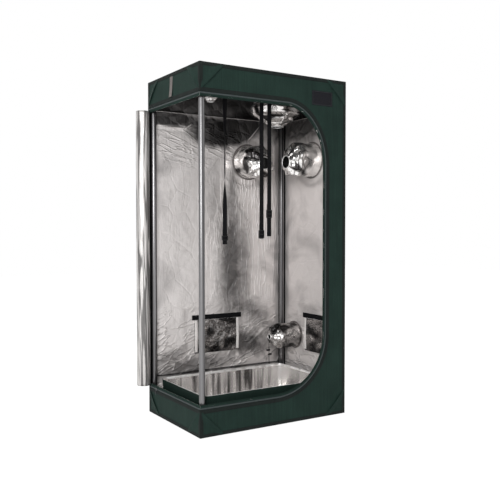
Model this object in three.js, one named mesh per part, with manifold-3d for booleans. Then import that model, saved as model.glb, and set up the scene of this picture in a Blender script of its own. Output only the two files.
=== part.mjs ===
// Indoor grow tent: a tube frame inside a fabric shell, with a doorway round the front left corner.
// Millimetres, +Z up. The origin is the middle of the floor's underside, with the front at -Y.
import * as THREE from 'three';
import { mergeVertices } from 'three/addons/utils/BufferGeometryUtils.js';
import Module from 'manifold-3d';

const wasm = await Module();
wasm.setup();

// Driving sizes of the tent
const WIDTH = 900;
const DEPTH = 600;
const HEIGHT = 1817;
const CLOTH = 1.5;
const GAP = 0.3;
const OVERRUN = 2;

// Frame tubes and the connectors that plug into them
const TUBE_RADIUS = 15;
const TUBE_WALL = 1.2;
const HUB_SIDE = 40;
const HUB_CORNER = 6;
const STUB_LENGTH = 55;

// Doorway: the zip line on the front, open to the left edge, and on the left side
const DOOR_DROP = 147;
const DOOR_LOW = 143;
const DOOR_BORDER = 136.5;
const TOP_CORNER_ACROSS = 256;
const TOP_CORNER_HEIGHT = 318;
const LOW_CORNER_ACROSS = 312;
const LOW_CORNER_HEIGHT = 301;
const LIP = 18;
const ZIP_WIDTH = 9;
const ZIP_THICK = 2;

// Zip slider and pull, parked low on the left side
const SLIDER_EDGE = 95;
const SLIDER_LENGTH = 17;
const SLIDER_WALL = 1.6;
const BAIL_RADIUS = 0.9;
const BAIL_REACH = 3.2;
const BAIL_SPAN = 7;
const PULL_WIDTH = 4.6;
const PULL_THICK = 1.8;
const PULL_LENGTH = 30;
const PULL_EYE = 2.6;

// Door rolled up outside the back left edge
const ROLL_RADIUS = 38;
const ROLL_EDGE = 10;
const ROLL_END_GAP = 8;
const ROLL_FOLD = 2.6;

// Bare label on the front and the hanging tag on the left band
const LABEL_WIDTH = 136;
const LABEL_HEIGHT = 77;
const LABEL_EDGE = 92.5;
const LABEL_DROP = 67;
const LABEL_THICK = 1.2;
const TAG_WIDTH = 31;
const TAG_PLACE = 10;
const TAG_DROP = 17;
const TAG_LENGTH = 105;
const TAG_LIFT = 7;

// Duct ports in the roof, the back and the right side
const DUCT_RADIUS = 100;
const DUCT_DROP = 400;
const BACK_DUCT_EDGE = 257;
const INTAKE_RADIUS = 75;
const INTAKE_HEIGHT = 376;
const INTAKE_EDGE = 132;
const ROOF_DUCT_RADIUS = 122;
const ROOF_DUCT_EDGE = 269;
const CABLE_RADIUS = 45;
const CABLE_EDGE = 225;
const HEM = 11;
const SLEEVE_LENGTH = 186;
const ROOF_SLEEVE_LENGTH = 226;
const CABLE_SLEEVE_LENGTH = 124;
const DUCT_MOUTH = 35;
const INTAKE_MOUTH = 15;
const CABLE_MOUTH = 16;
const SLEEVE_DROOP = 20;

// Drawcord tail under the lower sleeve, with two cord locks
const CORD_RADIUS = 1.8;
const CORD_SWAY = 1;
const LOCK_LENGTH = 23;
const LOCK_RADIUS = 5.5;
const UPPER_LOCK_DROP = 64;
const LOWER_LOCK_DROP = 90;

// Mesh vents low on the back and on the right side
const VENT_EDGE = 76;
const VENT_PORT_GAP = 37;
const VENT_HEIGHT = 184;
const VENT_LOW = 304;
const BACK_VENT_ACROSS = -20;
const FLAP_BORDER = 9;
const FLAP_BELLY = 13;
const BAR_OVERHANG = 25;
const BAR_HEIGHT = 28;
const BAR_THICK = 3;

// Hanging crossbars, one towards the front and one towards the back
const BAR_RADIUS = 9.5;
const BAR_WALL = 1.2;
const CROSSBAR_PLACE = 165;
const HOOK_WIDTH = 24;
const HOOK_WALL = 3;
const SOCKET_RADIUS = 12.5;
const SOCKET_LENGTH = 46;

// Hanging straps on the front crossbar
const WEB_WIDTH = 25;
const WEB_THICK = 1.6;
const LOOP_TAIL = 60;
const STRAP_PLACES = [-233, -9, 40];
const STRAP_LENGTHS = [859, 830, 818];
const BUCKLE_RISES = [21, 2, 98];
const BUCKLE_HEIGHT = 42;
const SHORT_BUCKLE_HEIGHT = 24;
const BUCKLE_WALL = 3;
const PLY_GAP = 0.8;
const WEB_TAIL = 30;

// Spill tray on the floor, inside the bottom rails
const TRAY_RIM = 190;
const TRAY_MARGIN = 6;
const TRAY_CORNER = 42;
const TRAY_WALL = 2;

// Facets
const ROUND = 20;
const ARC = 8;
const CORNER_ARC = 2;
const CORD_ARC = 4;
const PORT_ARC = 14;
const SLEEVE_SIDES = 20;
const CABLE_SIDES = 12;
const ROLL_SIDES = 36;
const ROLL_ROWS = 13;
const FLAP_ROWS = 8;
const FLAP_COLUMNS = 10;
const CORD_STEPS = 20;

// Places worked out from the sizes above
const HALF_WIDTH = WIDTH / 2;
const HALF_DEPTH = DEPTH / 2;
const INSET = CLOTH + GAP + HUB_SIDE / 2;
const POST_X = HALF_WIDTH - INSET;
const POST_Y = HALF_DEPTH - INSET;
const RAIL_TOP = HEIGHT - INSET;
const RAIL_LOW = INSET;
const SKIN_LOW = CLOTH + GAP;
const SKIN_TOP = HEIGHT - CLOTH - GAP;
const HUB_REACH = HUB_SIDE / 2 + GAP;
const INNER_X = HALF_WIDTH - CLOTH;
const INNER_Y = HALF_DEPTH - CLOTH;
const INNER_TOP = HEIGHT - CLOTH;
const DOOR_TOP = HEIGHT - DOOR_DROP;
const DOOR_RIGHT = HALF_WIDTH - DOOR_BORDER;
const SLIDER_PLACE = HALF_DEPTH - SLIDER_EDGE;
const ROLL_PLACE = HALF_DEPTH - ROLL_EDGE;
const DUCT_HEIGHT = HEIGHT - DUCT_DROP;
const BACK_DUCT_ACROSS = HALF_WIDTH - BACK_DUCT_EDGE;
const ROOF_DUCT_ACROSS = HALF_WIDTH - ROOF_DUCT_EDGE;
const CABLE_ACROSS = CABLE_EDGE - HALF_WIDTH;
const INTAKE_PLACE = HALF_DEPTH - INTAKE_EDGE;
const VENT_WIDTH = DEPTH - VENT_EDGE - VENT_PORT_GAP - INTAKE_RADIUS - INTAKE_EDGE;
const SIDE_VENT_PLACE = VENT_EDGE + VENT_WIDTH / 2 - HALF_DEPTH;
const BAR_LENGTH = VENT_WIDTH + BAR_OVERHANG * 2;

const X = new THREE.Vector3(1, 0, 0);
const Y = new THREE.Vector3(0, 1, 0);
const Z = new THREE.Vector3(0, 0, 1);
const FULL_TURN = Math.PI * 2;
const QUARTER = Math.PI / 2;

// Finishes
function finish(color, roughness, metalness = 0) {
  return new THREE.MeshStandardMaterial({ color, roughness, metalness });
}

const steel = finish(0x9a9a9c, 0.35, 0.9);
const blackPlastic = finish(0x1a1b1d, 0.5);
const greenCloth = finish(0x243a35, 0.85);
const silverLining = finish(0xb9b7b5, 0.3, 0.6);
const zipTape = finish(0x353c3c, 0.6);
const blackWebbing = finish(0x0f0f12, 0.8);
const greyTape = finish(0x4a4f4e, 0.8);
const blackMesh = finish(0x141416, 0.9);
const zincMetal = finish(0x6d6f72, 0.4, 0.8);

const tent = new THREE.Group();

// Adds one named piece to the tent and returns it
function add(name, geometry, material) {
  const mesh = new THREE.Mesh(geometry, material);
  mesh.name = name;
  tent.add(mesh);
  return mesh;
}

// Closed solid of a geometry, for joining and cutting
function solid(geometry) {
  const bare = geometry.clone();
  bare.deleteAttribute('normal');
  bare.deleteAttribute('uv');
  const merged = mergeVertices(bare);
  const triVerts = new Uint32Array(merged.index.array);
  const vertProperties = new Float32Array(merged.attributes.position.array);
  return new wasm.Manifold(new wasm.Mesh({ numProp: 3, vertProperties, triVerts }));
}

function geometryOf(manifold) {
  const { vertProperties, triVerts } = manifold.getMesh();
  const geometry = new THREE.BufferGeometry();
  geometry.setAttribute('position', new THREE.BufferAttribute(vertProperties, 3));
  geometry.setIndex(new THREE.BufferAttribute(triVerts, 1));
  geometry.computeVertexNormals();
  return geometry;
}

function join(...geometries) {
  return geometryOf(geometries.map(solid).reduce((whole, next) => whole.add(next)));
}

function cut(geometry, ...tools) {
  return geometryOf(tools.map(solid).reduce((whole, tool) => whole.subtract(tool), solid(geometry)));
}

// Box between two corners
function block(low, high) {
  const size = high.map((value, i) => value - low[i]);
  const middle = high.map((value, i) => (value + low[i]) / 2);
  return new THREE.BoxGeometry(...size).translate(...middle);
}

// Round rod of a length about the origin, along an axis
function rod(radius, length, axis, sides = ROUND) {
  const geometry = new THREE.CylinderGeometry(radius, radius, length, sides);
  return geometry.applyQuaternion(new THREE.Quaternion().setFromUnitVectors(Y, axis));
}

// Open tube of a length about the origin, along an axis
function tube(outer, wall, length, axis) {
  const half = length / 2;
  const inner = outer - wall;
  const profile = [[inner, -half], [outer, -half], [outer, half], [inner, half], [inner, -half]];
  const points = profile.map(([radius, along]) => new THREE.Vector2(radius, along));
  const geometry = new THREE.LatheGeometry(points, ROUND);
  return geometry.applyQuaternion(new THREE.Quaternion().setFromUnitVectors(Y, axis));
}

// Flat outline given a thickness, laid so that its own x, y and depth run along three axes
function plate(shape, thick, across, up, out, curveSegments = ARC) {
  const geometry = new THREE.ExtrudeGeometry(shape, { depth: thick, bevelEnabled: false, curveSegments });
  return geometry.applyMatrix4(new THREE.Matrix4().makeBasis(across, up, out));
}

function roundedOutline(halfAcross, halfUp, corner) {
  const shape = new THREE.Shape();
  shape.absarc(halfAcross - corner, halfUp - corner, corner, 0, QUARTER);
  shape.absarc(corner - halfAcross, halfUp - corner, corner, QUARTER, Math.PI);
  shape.absarc(corner - halfAcross, corner - halfUp, corner, Math.PI, Math.PI + QUARTER);
  shape.absarc(halfAcross - corner, corner - halfUp, corner, Math.PI + QUARTER, FULL_TURN);
  return shape;
}

function boxOutline(left, low, right, top) {
  const corners = [[left, low], [right, low], [right, top], [left, top]];
  return new THREE.Shape(corners.map(([across, up]) => new THREE.Vector2(across, up)));
}

function portHole(across, up, radius) {
  return new THREE.Path().absarc(across, up, radius, 0, FULL_TURN, true);
}

// Frame: posts and rails are open tubes, and each connector's three stubs plug into them

function addConnectors() {
  for (const [level, up] of [['bottom', -1], ['top', 1]]) {
    for (const [end, along] of [['front', -1], ['back', 1]]) {
      for (const [side, across] of [['left', -1], ['right', 1]]) {
        const outline = roundedOutline(HUB_SIDE / 2, HUB_SIDE / 2, HUB_CORNER);
        const hub = plate(outline, HUB_SIDE, X, Y, Z, CORNER_ARC).translate(0, 0, -HUB_SIDE / 2);
        const reach = (HUB_SIDE + STUB_LENGTH) / 2 - OVERRUN;
        const length = STUB_LENGTH + OVERRUN * 2;
        const stub = (axis, sign) => rod(TUBE_RADIUS - TUBE_WALL - GAP, length, axis)
          .translate(...axis.clone().multiplyScalar(-sign * reach).toArray());
        const geometry = join(hub, stub(X, across), stub(Y, along), stub(Z, up));
        const piece = add(`connector_${level}_${end}_${side}`, geometry, blackPlastic);
        piece.position.set(across * POST_X, along * POST_Y, up > 0 ? RAIL_TOP : RAIL_LOW);
      }
    }
  }
}

function addTubes() {
  const postLength = RAIL_TOP - RAIL_LOW - HUB_REACH * 2;
  const wideLength = (POST_X - HUB_REACH) * 2;
  const deepLength = (POST_Y - HUB_REACH) * 2;
  for (const [end, along] of [['front', -1], ['back', 1]]) {
    for (const [side, across] of [['left', -1], ['right', 1]]) {
      const post = add(`post_${end}_${side}`, tube(TUBE_RADIUS, TUBE_WALL, postLength, Z), steel);
      post.position.set(across * POST_X, along * POST_Y, (RAIL_TOP + RAIL_LOW) / 2);
    }
  }
  for (const [level, height] of [['top', RAIL_TOP], ['bottom', RAIL_LOW]]) {
    for (const [end, along] of [['front', -1], ['back', 1]]) {
      const rail = add(`${level}_rail_${end}`, tube(TUBE_RADIUS, TUBE_WALL, wideLength, X), steel);
      rail.position.set(0, along * POST_Y, height);
    }
    for (const [side, across] of [['left', -1], ['right', 1]]) {
      const rail = add(`${level}_rail_${side}`, tube(TUBE_RADIUS, TUBE_WALL, deepLength, Y), steel);
      rail.position.set(across * POST_X, 0, height);
    }
  }
}

// Shell: fabric panels that meet along the tent's edges

// Doorway line on the front, from the left edge along the top, down the right and back along the bottom
function doorLine(inset, left = -HALF_WIDTH) {
  const line = new THREE.Path();
  const topMiddle = [DOOR_RIGHT - TOP_CORNER_ACROSS, DOOR_TOP - TOP_CORNER_HEIGHT];
  const lowMiddle = [DOOR_RIGHT - LOW_CORNER_ACROSS, DOOR_LOW + LOW_CORNER_HEIGHT];
  line.moveTo(left, DOOR_TOP - inset);
  line.lineTo(topMiddle[0], DOOR_TOP - inset);
  line.absellipse(...topMiddle, TOP_CORNER_ACROSS - inset, TOP_CORNER_HEIGHT - inset, QUARTER, 0, true);
  line.absellipse(...lowMiddle, LOW_CORNER_ACROSS - inset, LOW_CORNER_HEIGHT - inset, 0, -QUARTER, true);
  line.lineTo(left, DOOR_LOW + inset);
  return line.getPoints(ARC);
}

function addFront() {
  const outline = boxOutline(-HALF_WIDTH, SKIN_LOW, HALF_WIDTH, SKIN_TOP).getPoints();
  const shape = new THREE.Shape([...outline, ...doorLine(LIP)]);
  const panel = plate(shape, CLOTH, X, Z, Y.clone().negate()).translate(0, -INNER_Y, 0);
  add('front_panel', panel, greenCloth);
}

function addBack() {
  const shape = boxOutline(-HALF_WIDTH, SKIN_LOW, HALF_WIDTH, SKIN_TOP);
  shape.holes.push(portHole(BACK_DUCT_ACROSS, DUCT_HEIGHT, DUCT_RADIUS));
  shape.holes.push(ventHole(BACK_VENT_ACROSS));
  const panel = plate(shape, CLOTH, X, Z, Y.clone().negate(), PORT_ARC).translate(0, HALF_DEPTH, 0);
  add('back_panel', panel, silverLining);
}

function addRight() {
  const edge = INNER_Y - GAP;
  const shape = boxOutline(-edge, SKIN_LOW, edge, SKIN_TOP);
  shape.holes.push(portHole(0, DUCT_HEIGHT, DUCT_RADIUS));
  shape.holes.push(portHole(INTAKE_PLACE, INTAKE_HEIGHT, INTAKE_RADIUS));
  shape.holes.push(ventHole(SIDE_VENT_PLACE));
  add('right_panel', plate(shape, CLOTH, Y, Z, X, PORT_ARC).translate(INNER_X, 0, 0), silverLining);
}

function addRoofAndFloor() {
  const roof = boxOutline(-HALF_WIDTH, -HALF_DEPTH, HALF_WIDTH, HALF_DEPTH);
  roof.holes.push(portHole(ROOF_DUCT_ACROSS, 0, ROOF_DUCT_RADIUS));
  roof.holes.push(portHole(CABLE_ACROSS, 0, CABLE_RADIUS));
  add('roof_panel', plate(roof, CLOTH, X, Y, Z, PORT_ARC).translate(0, 0, INNER_TOP), greenCloth);
  add('floor_panel', block([-HALF_WIDTH, -HALF_DEPTH, 0], [HALF_WIDTH, HALF_DEPTH, CLOTH]), greenCloth);
}

function addLeftBands() {
  const edge = INNER_Y - GAP;
  const upper = block([-HALF_WIDTH, -edge, DOOR_TOP - LIP], [-INNER_X, edge, SKIN_TOP]);
  const lower = block([-HALF_WIDTH, -edge, SKIN_LOW], [-INNER_X, edge, DOOR_LOW + LIP]);
  add('left_upper_band', upper, greenCloth);
  add('left_lower_band', lower, greenCloth);
}

// Zip track along the doorway line, round the front left edge and back along both left bands
function addZip() {
  const half = ZIP_WIDTH / 2;
  const face = HALF_WIDTH + GAP;
  const outer = face + ZIP_THICK;
  const frontFace = HALF_DEPTH + GAP;
  const line = new THREE.Shape([...doorLine(-half, -outer), ...doorLine(half, -outer).reverse()]);
  const front = plate(line, ZIP_THICK, X, Z, Y.clone().negate()).translate(0, -frontFace, 0);
  const runs = [DOOR_TOP, DOOR_LOW].map((height) => {
    const inTrack = -frontFace - ZIP_THICK / 2;
    return block([-outer, inTrack, height - half], [-face, INNER_Y - ZIP_WIDTH, height + half]);
  });
  add('zip_track', join(front, ...runs), zipTape);
}

// Slider riding the lower left run, with a bail bar that the pull hangs from
function addSlider() {
  const half = ZIP_WIDTH / 2 + GAP;
  const base = -(HALF_WIDTH + GAP * 2);
  const trackTop = base - ZIP_THICK - GAP;
  const back = trackTop - SLIDER_WALL;
  const bail = back - BAIL_REACH;
  const low = SLIDER_PLACE - SLIDER_LENGTH / 2;
  const high = SLIDER_PLACE + SLIDER_LENGTH / 2;
  const reach = half + SLIDER_WALL;
  const shell = block([back, low, DOOR_LOW - reach], [base, high, DOOR_LOW + reach]);
  const channelEnd = [base + OVERRUN, high + OVERRUN, DOOR_LOW + half];
  const channel = block([trackTop, low - OVERRUN, DOOR_LOW - half], channelEnd);
  const bar = rod(BAIL_RADIUS, BAIL_SPAN, Y, ARC).translate(bail, SLIDER_PLACE, DOOR_LOW);
  const ears = [-1, 1].map((side) => {
    const outside = SLIDER_PLACE + side * BAIL_SPAN / 2;
    const inside = outside - side * BAIL_RADIUS;
    const span = [Math.min(outside, inside), Math.max(outside, inside)];
    const top = bail - BAIL_RADIUS;
    return block([top, span[0], DOOR_LOW - BAIL_RADIUS], [back + GAP, span[1], DOOR_LOW + BAIL_RADIUS]);
  });
  add('zip_slider', join(cut(shell, channel), bar, ...ears), zincMetal);

  const eye = new THREE.Shape();
  const neck = Math.asin(PULL_THICK / 2 / PULL_EYE);
  eye.absarc(0, 0, PULL_EYE, neck - QUARTER, FULL_TURN - QUARTER - neck);
  eye.lineTo(-PULL_THICK / 2, -PULL_LENGTH);
  eye.lineTo(PULL_THICK / 2, -PULL_LENGTH);
  eye.holes.push(portHole(0, 0, BAIL_RADIUS + GAP));
  const pull = plate(eye, PULL_WIDTH, X, Z, Y.clone().negate()).translate(0, PULL_WIDTH / 2, 0);
  const piece = add('zip_pull', pull, zincMetal);
  piece.position.set(bail, SLIDER_PLACE, DOOR_LOW);
}

// Joins rings of points into one closed skin: outer rings, with inner rings where the piece is hollow
function loft(outer, inner) {
  const sides = outer[0].length;
  const points = [...outer, ...(inner ?? [])].flat();
  const index = [];
  const quad = (a, b, c, d) => index.push(a, b, c, a, c, d);
  const at = (ring, side) => ring * sides + (side % sides);
  const last = outer.length - 1;
  for (let side = 0; side < sides; side += 1) {
    for (let ring = 0; ring < last; ring += 1) {
      quad(at(ring, side), at(ring, side + 1), at(ring + 1, side + 1), at(ring + 1, side));
      if (inner) {
        const below = outer.length + ring;
        quad(at(below, side), at(below + 1, side), at(below + 1, side + 1), at(below, side + 1));
      }
    }
    if (inner) {
      const first = outer.length;
      quad(at(0, side), at(first, side), at(first, side + 1), at(0, side + 1));
      quad(at(last, side), at(last, side + 1), at(first + last, side + 1), at(first + last, side));
    }
  }
  if (!inner) {
    for (let side = 1; side < sides - 1; side += 1) {
      index.push(at(0, 0), at(0, side + 1), at(0, side));
      index.push(at(last, 0), at(last, side), at(last, side + 1));
    }
  }
  const geometry = new THREE.BufferGeometry().setFromPoints(points);
  geometry.setIndex(index);
  geometry.computeVertexNormals();
  return geometry;
}

// Grid of points from a rule that takes two shares, up and across
function grid(rows, columns, rule) {
  const points = [];
  for (let row = 0; row <= rows; row += 1) {
    points.push(Array.from({ length: columns + 1 }, (_, column) => rule(row / rows, column / columns)));
  }
  return points;
}

// Sheet with a thickness, closed between two grids of points that face away from each other
function quilt(front, back) {
  const rows = front.length;
  const columns = front[0].length;
  const offset = rows * columns;
  const index = [];
  const quad = (a, b, c, d) => index.push(a, b, c, a, c, d);
  const at = (row, column) => row * columns + column;
  for (let row = 0; row < rows - 1; row += 1) {
    for (let column = 0; column < columns - 1; column += 1) {
      const face = [at(row, column), at(row, column + 1), at(row + 1, column + 1), at(row + 1, column)];
      quad(...face);
      quad(...face.map((spot) => spot + offset).reverse());
    }
  }
  for (let row = 0; row < rows - 1; row += 1) {
    const left = [at(row, 0), at(row + 1, 0)];
    const right = [at(row + 1, columns - 1), at(row, columns - 1)];
    quad(...left, left[1] + offset, left[0] + offset);
    quad(...right, right[1] + offset, right[0] + offset);
  }
  for (let column = 0; column < columns - 1; column += 1) {
    const low = [at(0, column + 1), at(0, column)];
    const high = [at(rows - 1, column), at(rows - 1, column + 1)];
    quad(...low, low[1] + offset, low[0] + offset);
    quad(...high, high[1] + offset, high[0] + offset);
  }
  const geometry = new THREE.BufferGeometry().setFromPoints([...front, ...back].flat());
  geometry.setIndex(index);
  geometry.computeVertexNormals();
  return geometry;
}

// Upright folds of the roll: how many go round it, their share of the fold's depth, and how far round
// they wander, in turns, from its foot to its top
const rollFoldShares = [
  { count: 7, depth: 0.6, wander: 0.08 },
  { count: 3, depth: 0.4, wander: -0.6 },
];

// Door rolled up on itself, with upright folds, and the strip that carries it on the back left edge
function addDoorRoll() {
  const low = DOOR_LOW + ZIP_WIDTH / 2 + ROLL_END_GAP;
  const high = DOOR_TOP - ZIP_WIDTH / 2 - ROLL_END_GAP;
  const centre = -(HALF_WIDTH + GAP + ROLL_RADIUS + ROLL_FOLD);
  const rows = [];
  for (let ring = 0; ring <= ROLL_ROWS; ring += 1) {
    const share = ring / ROLL_ROWS;
    const height = low + (high - low) * share;
    const row = [];
    for (let side = 0; side < ROLL_SIDES; side += 1) {
      const angle = side / ROLL_SIDES * FULL_TURN;
      const folds = rollFoldShares.map(({ count, depth, wander }) => (
        depth * Math.cos(angle * count + share * wander * FULL_TURN)));
      const radius = ROLL_RADIUS + ROLL_FOLD * folds.reduce((sum, fold) => sum + fold);
      const away = new THREE.Vector2(Math.cos(angle), Math.sin(angle)).multiplyScalar(radius);
      row.push(new THREE.Vector3(centre + away.x, ROLL_PLACE + away.y, height));
    }
    rows.push(row);
  }
  const strip = block([centre, INNER_Y, low], [-HALF_WIDTH - GAP, HALF_DEPTH, high]);
  add('door_roll', join(loft(rows), strip), silverLining);
}

function addLabelAndTag() {
  const face = -HALF_DEPTH - GAP;
  const right = HALF_WIDTH - LABEL_EDGE;
  const top = HEIGHT - LABEL_DROP;
  const low = [right - LABEL_WIDTH, face - LABEL_THICK, top - LABEL_HEIGHT];
  add('label_patch', block(low, [right, face, top]), blackWebbing);

  const side = HALF_WIDTH + GAP;
  const curve = new THREE.Shape();
  curve.moveTo(0, 0);
  curve.quadraticCurveTo(0, -TAG_LENGTH / 2, -TAG_LIFT, -TAG_LENGTH);
  curve.lineTo(-TAG_LIFT - CLOTH, -TAG_LENGTH);
  curve.quadraticCurveTo(-CLOTH, -TAG_LENGTH / 2, -CLOTH, 0);
  const tag = plate(curve, TAG_WIDTH, X, Z, Y.clone().negate()).translate(0, TAG_WIDTH / 2, 0);
  add('hanging_tag', tag, greyTape).position.set(-side, TAG_PLACE, HEIGHT - TAG_DROP);
}

// Gathered sleeves. Shares of the sleeve's length, and of its port's radius, from the wall to the mouth.
const sleeveShares = [
  { along: 0, radius: 1 },
  { along: 0.1, radius: 0.98 },
  { along: 0.24, radius: 0.95 },
  { along: 0.4, radius: 0.93 },
  { along: 0.55, radius: 0.96 },
  { along: 0.68, radius: 0.9 },
  { along: 0.82, radius: 0.66 },
  { along: 0.93, radius: 0.42 },
];
const lanternShares = [
  { along: 0, radius: 1 },
  { along: 0.12, radius: 0.94 },
  { along: 0.28, radius: 0.92 },
  { along: 0.42, radius: 1.02 },
  { along: 0.56, radius: 1.15 },
  { along: 0.68, radius: 1.08 },
  { along: 0.82, radius: 0.72 },
  { along: 0.93, radius: 0.42 },
];
const pleatShare = 0.085;
const mouthPleatShare = 0.4;
const pleatTwistShare = 2;

// A port's sleeve: a hem against the wall, a full body, and pleats that gather to the mouth
function sleeve(name, port) {
  const { centre, inward, across, radius, length, mouth, droop, shares, pleats, sides } = port;
  const up = inward.clone().cross(across);
  const rings = [
    { along: 0, outer: radius + HEM, inner: radius - CLOTH, fold: 0 },
    { along: CLOTH, outer: radius + HEM, inner: radius - CLOTH, fold: 0 },
    ...shares.map((share, i) => ({
      along: CLOTH * 2 + (length - CLOTH * 3) * share.along,
      outer: share.radius * radius,
      inner: share.radius * radius - CLOTH,
      fold: i / shares.length,
    })),
    { along: length, outer: mouth + CLOTH, inner: mouth, fold: mouthPleatShare },
  ];
  const row = (ring, reach) => {
    const points = [];
    for (let side = 0; side < sides; side += 1) {
      const angle = side / sides * FULL_TURN;
      const pleat = 1 + ring.fold * pleatShare * Math.cos(angle * pleats + ring.fold * pleatTwistShare);
      const sag = droop.clone().multiplyScalar((ring.along / length) ** 2);
      const spot = centre.clone().addScaledVector(inward, ring.along + GAP).add(sag);
      spot.addScaledVector(across, reach * pleat * Math.cos(angle));
      spot.addScaledVector(up, reach * pleat * Math.sin(angle));
      points.push(spot);
    }
    return points;
  };
  const skin = loft(rings.map((ring) => row(ring, ring.outer)), rings.map((ring) => row(ring, ring.inner)));
  add(name, skin, silverLining);
}

function addSleeves() {
  const sag = Z.clone().multiplyScalar(-SLEEVE_DROOP);
  const none = new THREE.Vector3();
  const duct = {
    radius: DUCT_RADIUS,
    length: SLEEVE_LENGTH,
    mouth: DUCT_MOUTH,
    shares: sleeveShares,
    pleats: 7,
    sides: SLEEVE_SIDES,
  };
  sleeve('back_duct_sleeve', {
    ...duct,
    centre: new THREE.Vector3(BACK_DUCT_ACROSS, INNER_Y, DUCT_HEIGHT),
    inward: Y.clone().negate(),
    across: X,
    droop: sag,
  });
  sleeve('right_duct_sleeve', {
    ...duct,
    centre: new THREE.Vector3(INNER_X, 0, DUCT_HEIGHT),
    inward: X.clone().negate(),
    across: Y,
    droop: sag,
  });
  sleeve('intake_sleeve', {
    ...duct,
    centre: new THREE.Vector3(INNER_X, INTAKE_PLACE, INTAKE_HEIGHT),
    inward: X.clone().negate(),
    across: Y,
    radius: INTAKE_RADIUS,
    mouth: INTAKE_MOUTH,
    droop: none,
    pleats: 6,
  });
  sleeve('roof_duct_sleeve', {
    centre: new THREE.Vector3(ROOF_DUCT_ACROSS, 0, INNER_TOP),
    inward: Z.clone().negate(),
    across: X,
    radius: ROOF_DUCT_RADIUS,
    length: ROOF_SLEEVE_LENGTH,
    mouth: DUCT_MOUTH,
    droop: X.clone().multiplyScalar(SLEEVE_DROOP),
    shares: lanternShares,
    pleats: 6,
    sides: SLEEVE_SIDES,
  });
  sleeve('roof_cable_sleeve', {
    centre: new THREE.Vector3(CABLE_ACROSS, 0, INNER_TOP),
    inward: Z.clone().negate(),
    across: X,
    radius: CABLE_RADIUS,
    length: CABLE_SLEEVE_LENGTH,
    mouth: CABLE_MOUTH,
    droop: none,
    shares: sleeveShares,
    pleats: 4,
    sides: CABLE_SIDES,
  });
}

// Route of the drawcord tail, from its exit down: how far it sways to the right, and how far it has dropped
const cordRoute = [
  [0, 0],
  [0.4, 8],
  [0.9, 18],
  [CORD_SWAY, 30],
  [CORD_SWAY, 48],
  [CORD_SWAY, 70],
  [CORD_SWAY, 92],
  [CORD_SWAY, 112],
  [1.6, 128],
  [2.6, 143],
];

// Drawcord tail under the intake sleeve's mouth, hanging straight down through its two cord locks
function addDrawcord() {
  const place = INNER_X - SLEEVE_LENGTH - CORD_RADIUS - GAP * 2;
  const exit = INTAKE_HEIGHT - INTAKE_MOUTH;
  const spots = cordRoute.map(([sway, down]) => new THREE.Vector3(place + sway, INTAKE_PLACE, exit - down));
  const extrudePath = new THREE.CatmullRomCurve3(spots);
  const section = new THREE.Shape().absarc(0, 0, CORD_RADIUS, 0, FULL_TURN);
  const run = { extrudePath, steps: CORD_STEPS, curveSegments: CORD_ARC, bevelEnabled: false };
  add('drawcord_tail', new THREE.ExtrudeGeometry(section, run), blackWebbing);

  const straight = place + CORD_SWAY;
  for (const [name, down, turn] of [['upper', UPPER_LOCK_DROP, 1], ['lower', LOWER_LOCK_DROP, -1]]) {
    const barrel = rod(LOCK_RADIUS, LOCK_LENGTH, X, ROUND / 2);
    const bore = rod(CORD_RADIUS + GAP, LOCK_RADIUS * 4, Z, ROUND / 2).translate(turn * LOCK_RADIUS, 0, 0);
    const lock = add(`cord_lock_${name}`, cut(barrel, bore), blackPlastic);
    lock.position.set(straight - turn * LOCK_RADIUS, INTAKE_PLACE, exit - down);
  }
}

// Vents: a mesh in the panel's hole, an inner flap hinged along its bottom, and the bar that holds it shut

function ventHole(middle) {
  const half = VENT_WIDTH / 2;
  const top = VENT_LOW + VENT_HEIGHT;
  const corners = [[-half, VENT_LOW], [-half, top], [half, top], [half, VENT_LOW]];
  return new THREE.Path(corners.map(([across, up]) => new THREE.Vector2(middle + across, up)));
}

// Creases of a flap: the least belly as a share of the full one, and how many creases cross it each way
const creaseShares = { least: 0.4, across: 1.5, up: 0.6 };

// Across and outward are the wall's own directions, and the origin is on the wall's inner face
function addVent(name, wall) {
  const { across, outward, origin } = wall;
  const half = VENT_WIDTH / 2;
  const top = VENT_LOW + VENT_HEIGHT;
  const panel = (shape, thick, from) => plate(shape, thick, across, Z, outward)
    .translate(...origin.clone().addScaledVector(outward, from).toArray());
  const mesh = boxOutline(-half + GAP, VENT_LOW + GAP, half - GAP, top - GAP);
  add(`${name}_vent_mesh`, panel(mesh, CLOTH, 0), blackMesh);

  const barLow = top + OVERRUN;
  const bar = boxOutline(-BAR_LENGTH / 2, barLow, BAR_LENGTH / 2, barLow + BAR_HEIGHT);
  add(`${name}_vent_bar`, panel(bar, BAR_THICK, -GAP - BAR_THICK), blackWebbing);

  const flapLow = VENT_LOW - FLAP_BORDER;
  const flapWidth = VENT_WIDTH + FLAP_BORDER * 2;
  const { least, across: acrossShare, up: upShare } = creaseShares;
  const face = (lift) => grid(FLAP_ROWS, FLAP_COLUMNS, (rise, place) => {
    const wave = (1 + Math.cos(FULL_TURN * (place * acrossShare + rise * upShare))) / 2;
    const bow = Math.sin(Math.PI * rise) ** 2 * (least + (1 - least) * wave);
    const spot = origin.clone().addScaledVector(outward, -GAP - lift - FLAP_BELLY * bow);
    spot.addScaledVector(across, flapWidth * (place - 1 / 2));
    return spot.setZ(flapLow + (top - flapLow) * rise);
  });
  add(`${name}_vent_flap`, quilt(face(0), face(CLOTH)), silverLining);
}

function addVents() {
  addVent('back', {
    across: X.clone().negate(),
    outward: Y,
    origin: new THREE.Vector3(BACK_VENT_ACROSS, INNER_Y, 0),
  });
  addVent('side', {
    across: Y,
    outward: X,
    origin: new THREE.Vector3(INNER_X, SIDE_VENT_PLACE, 0),
  });
}

// Crossbars: an open tube with a hook at each end that clips over a top rail

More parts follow.
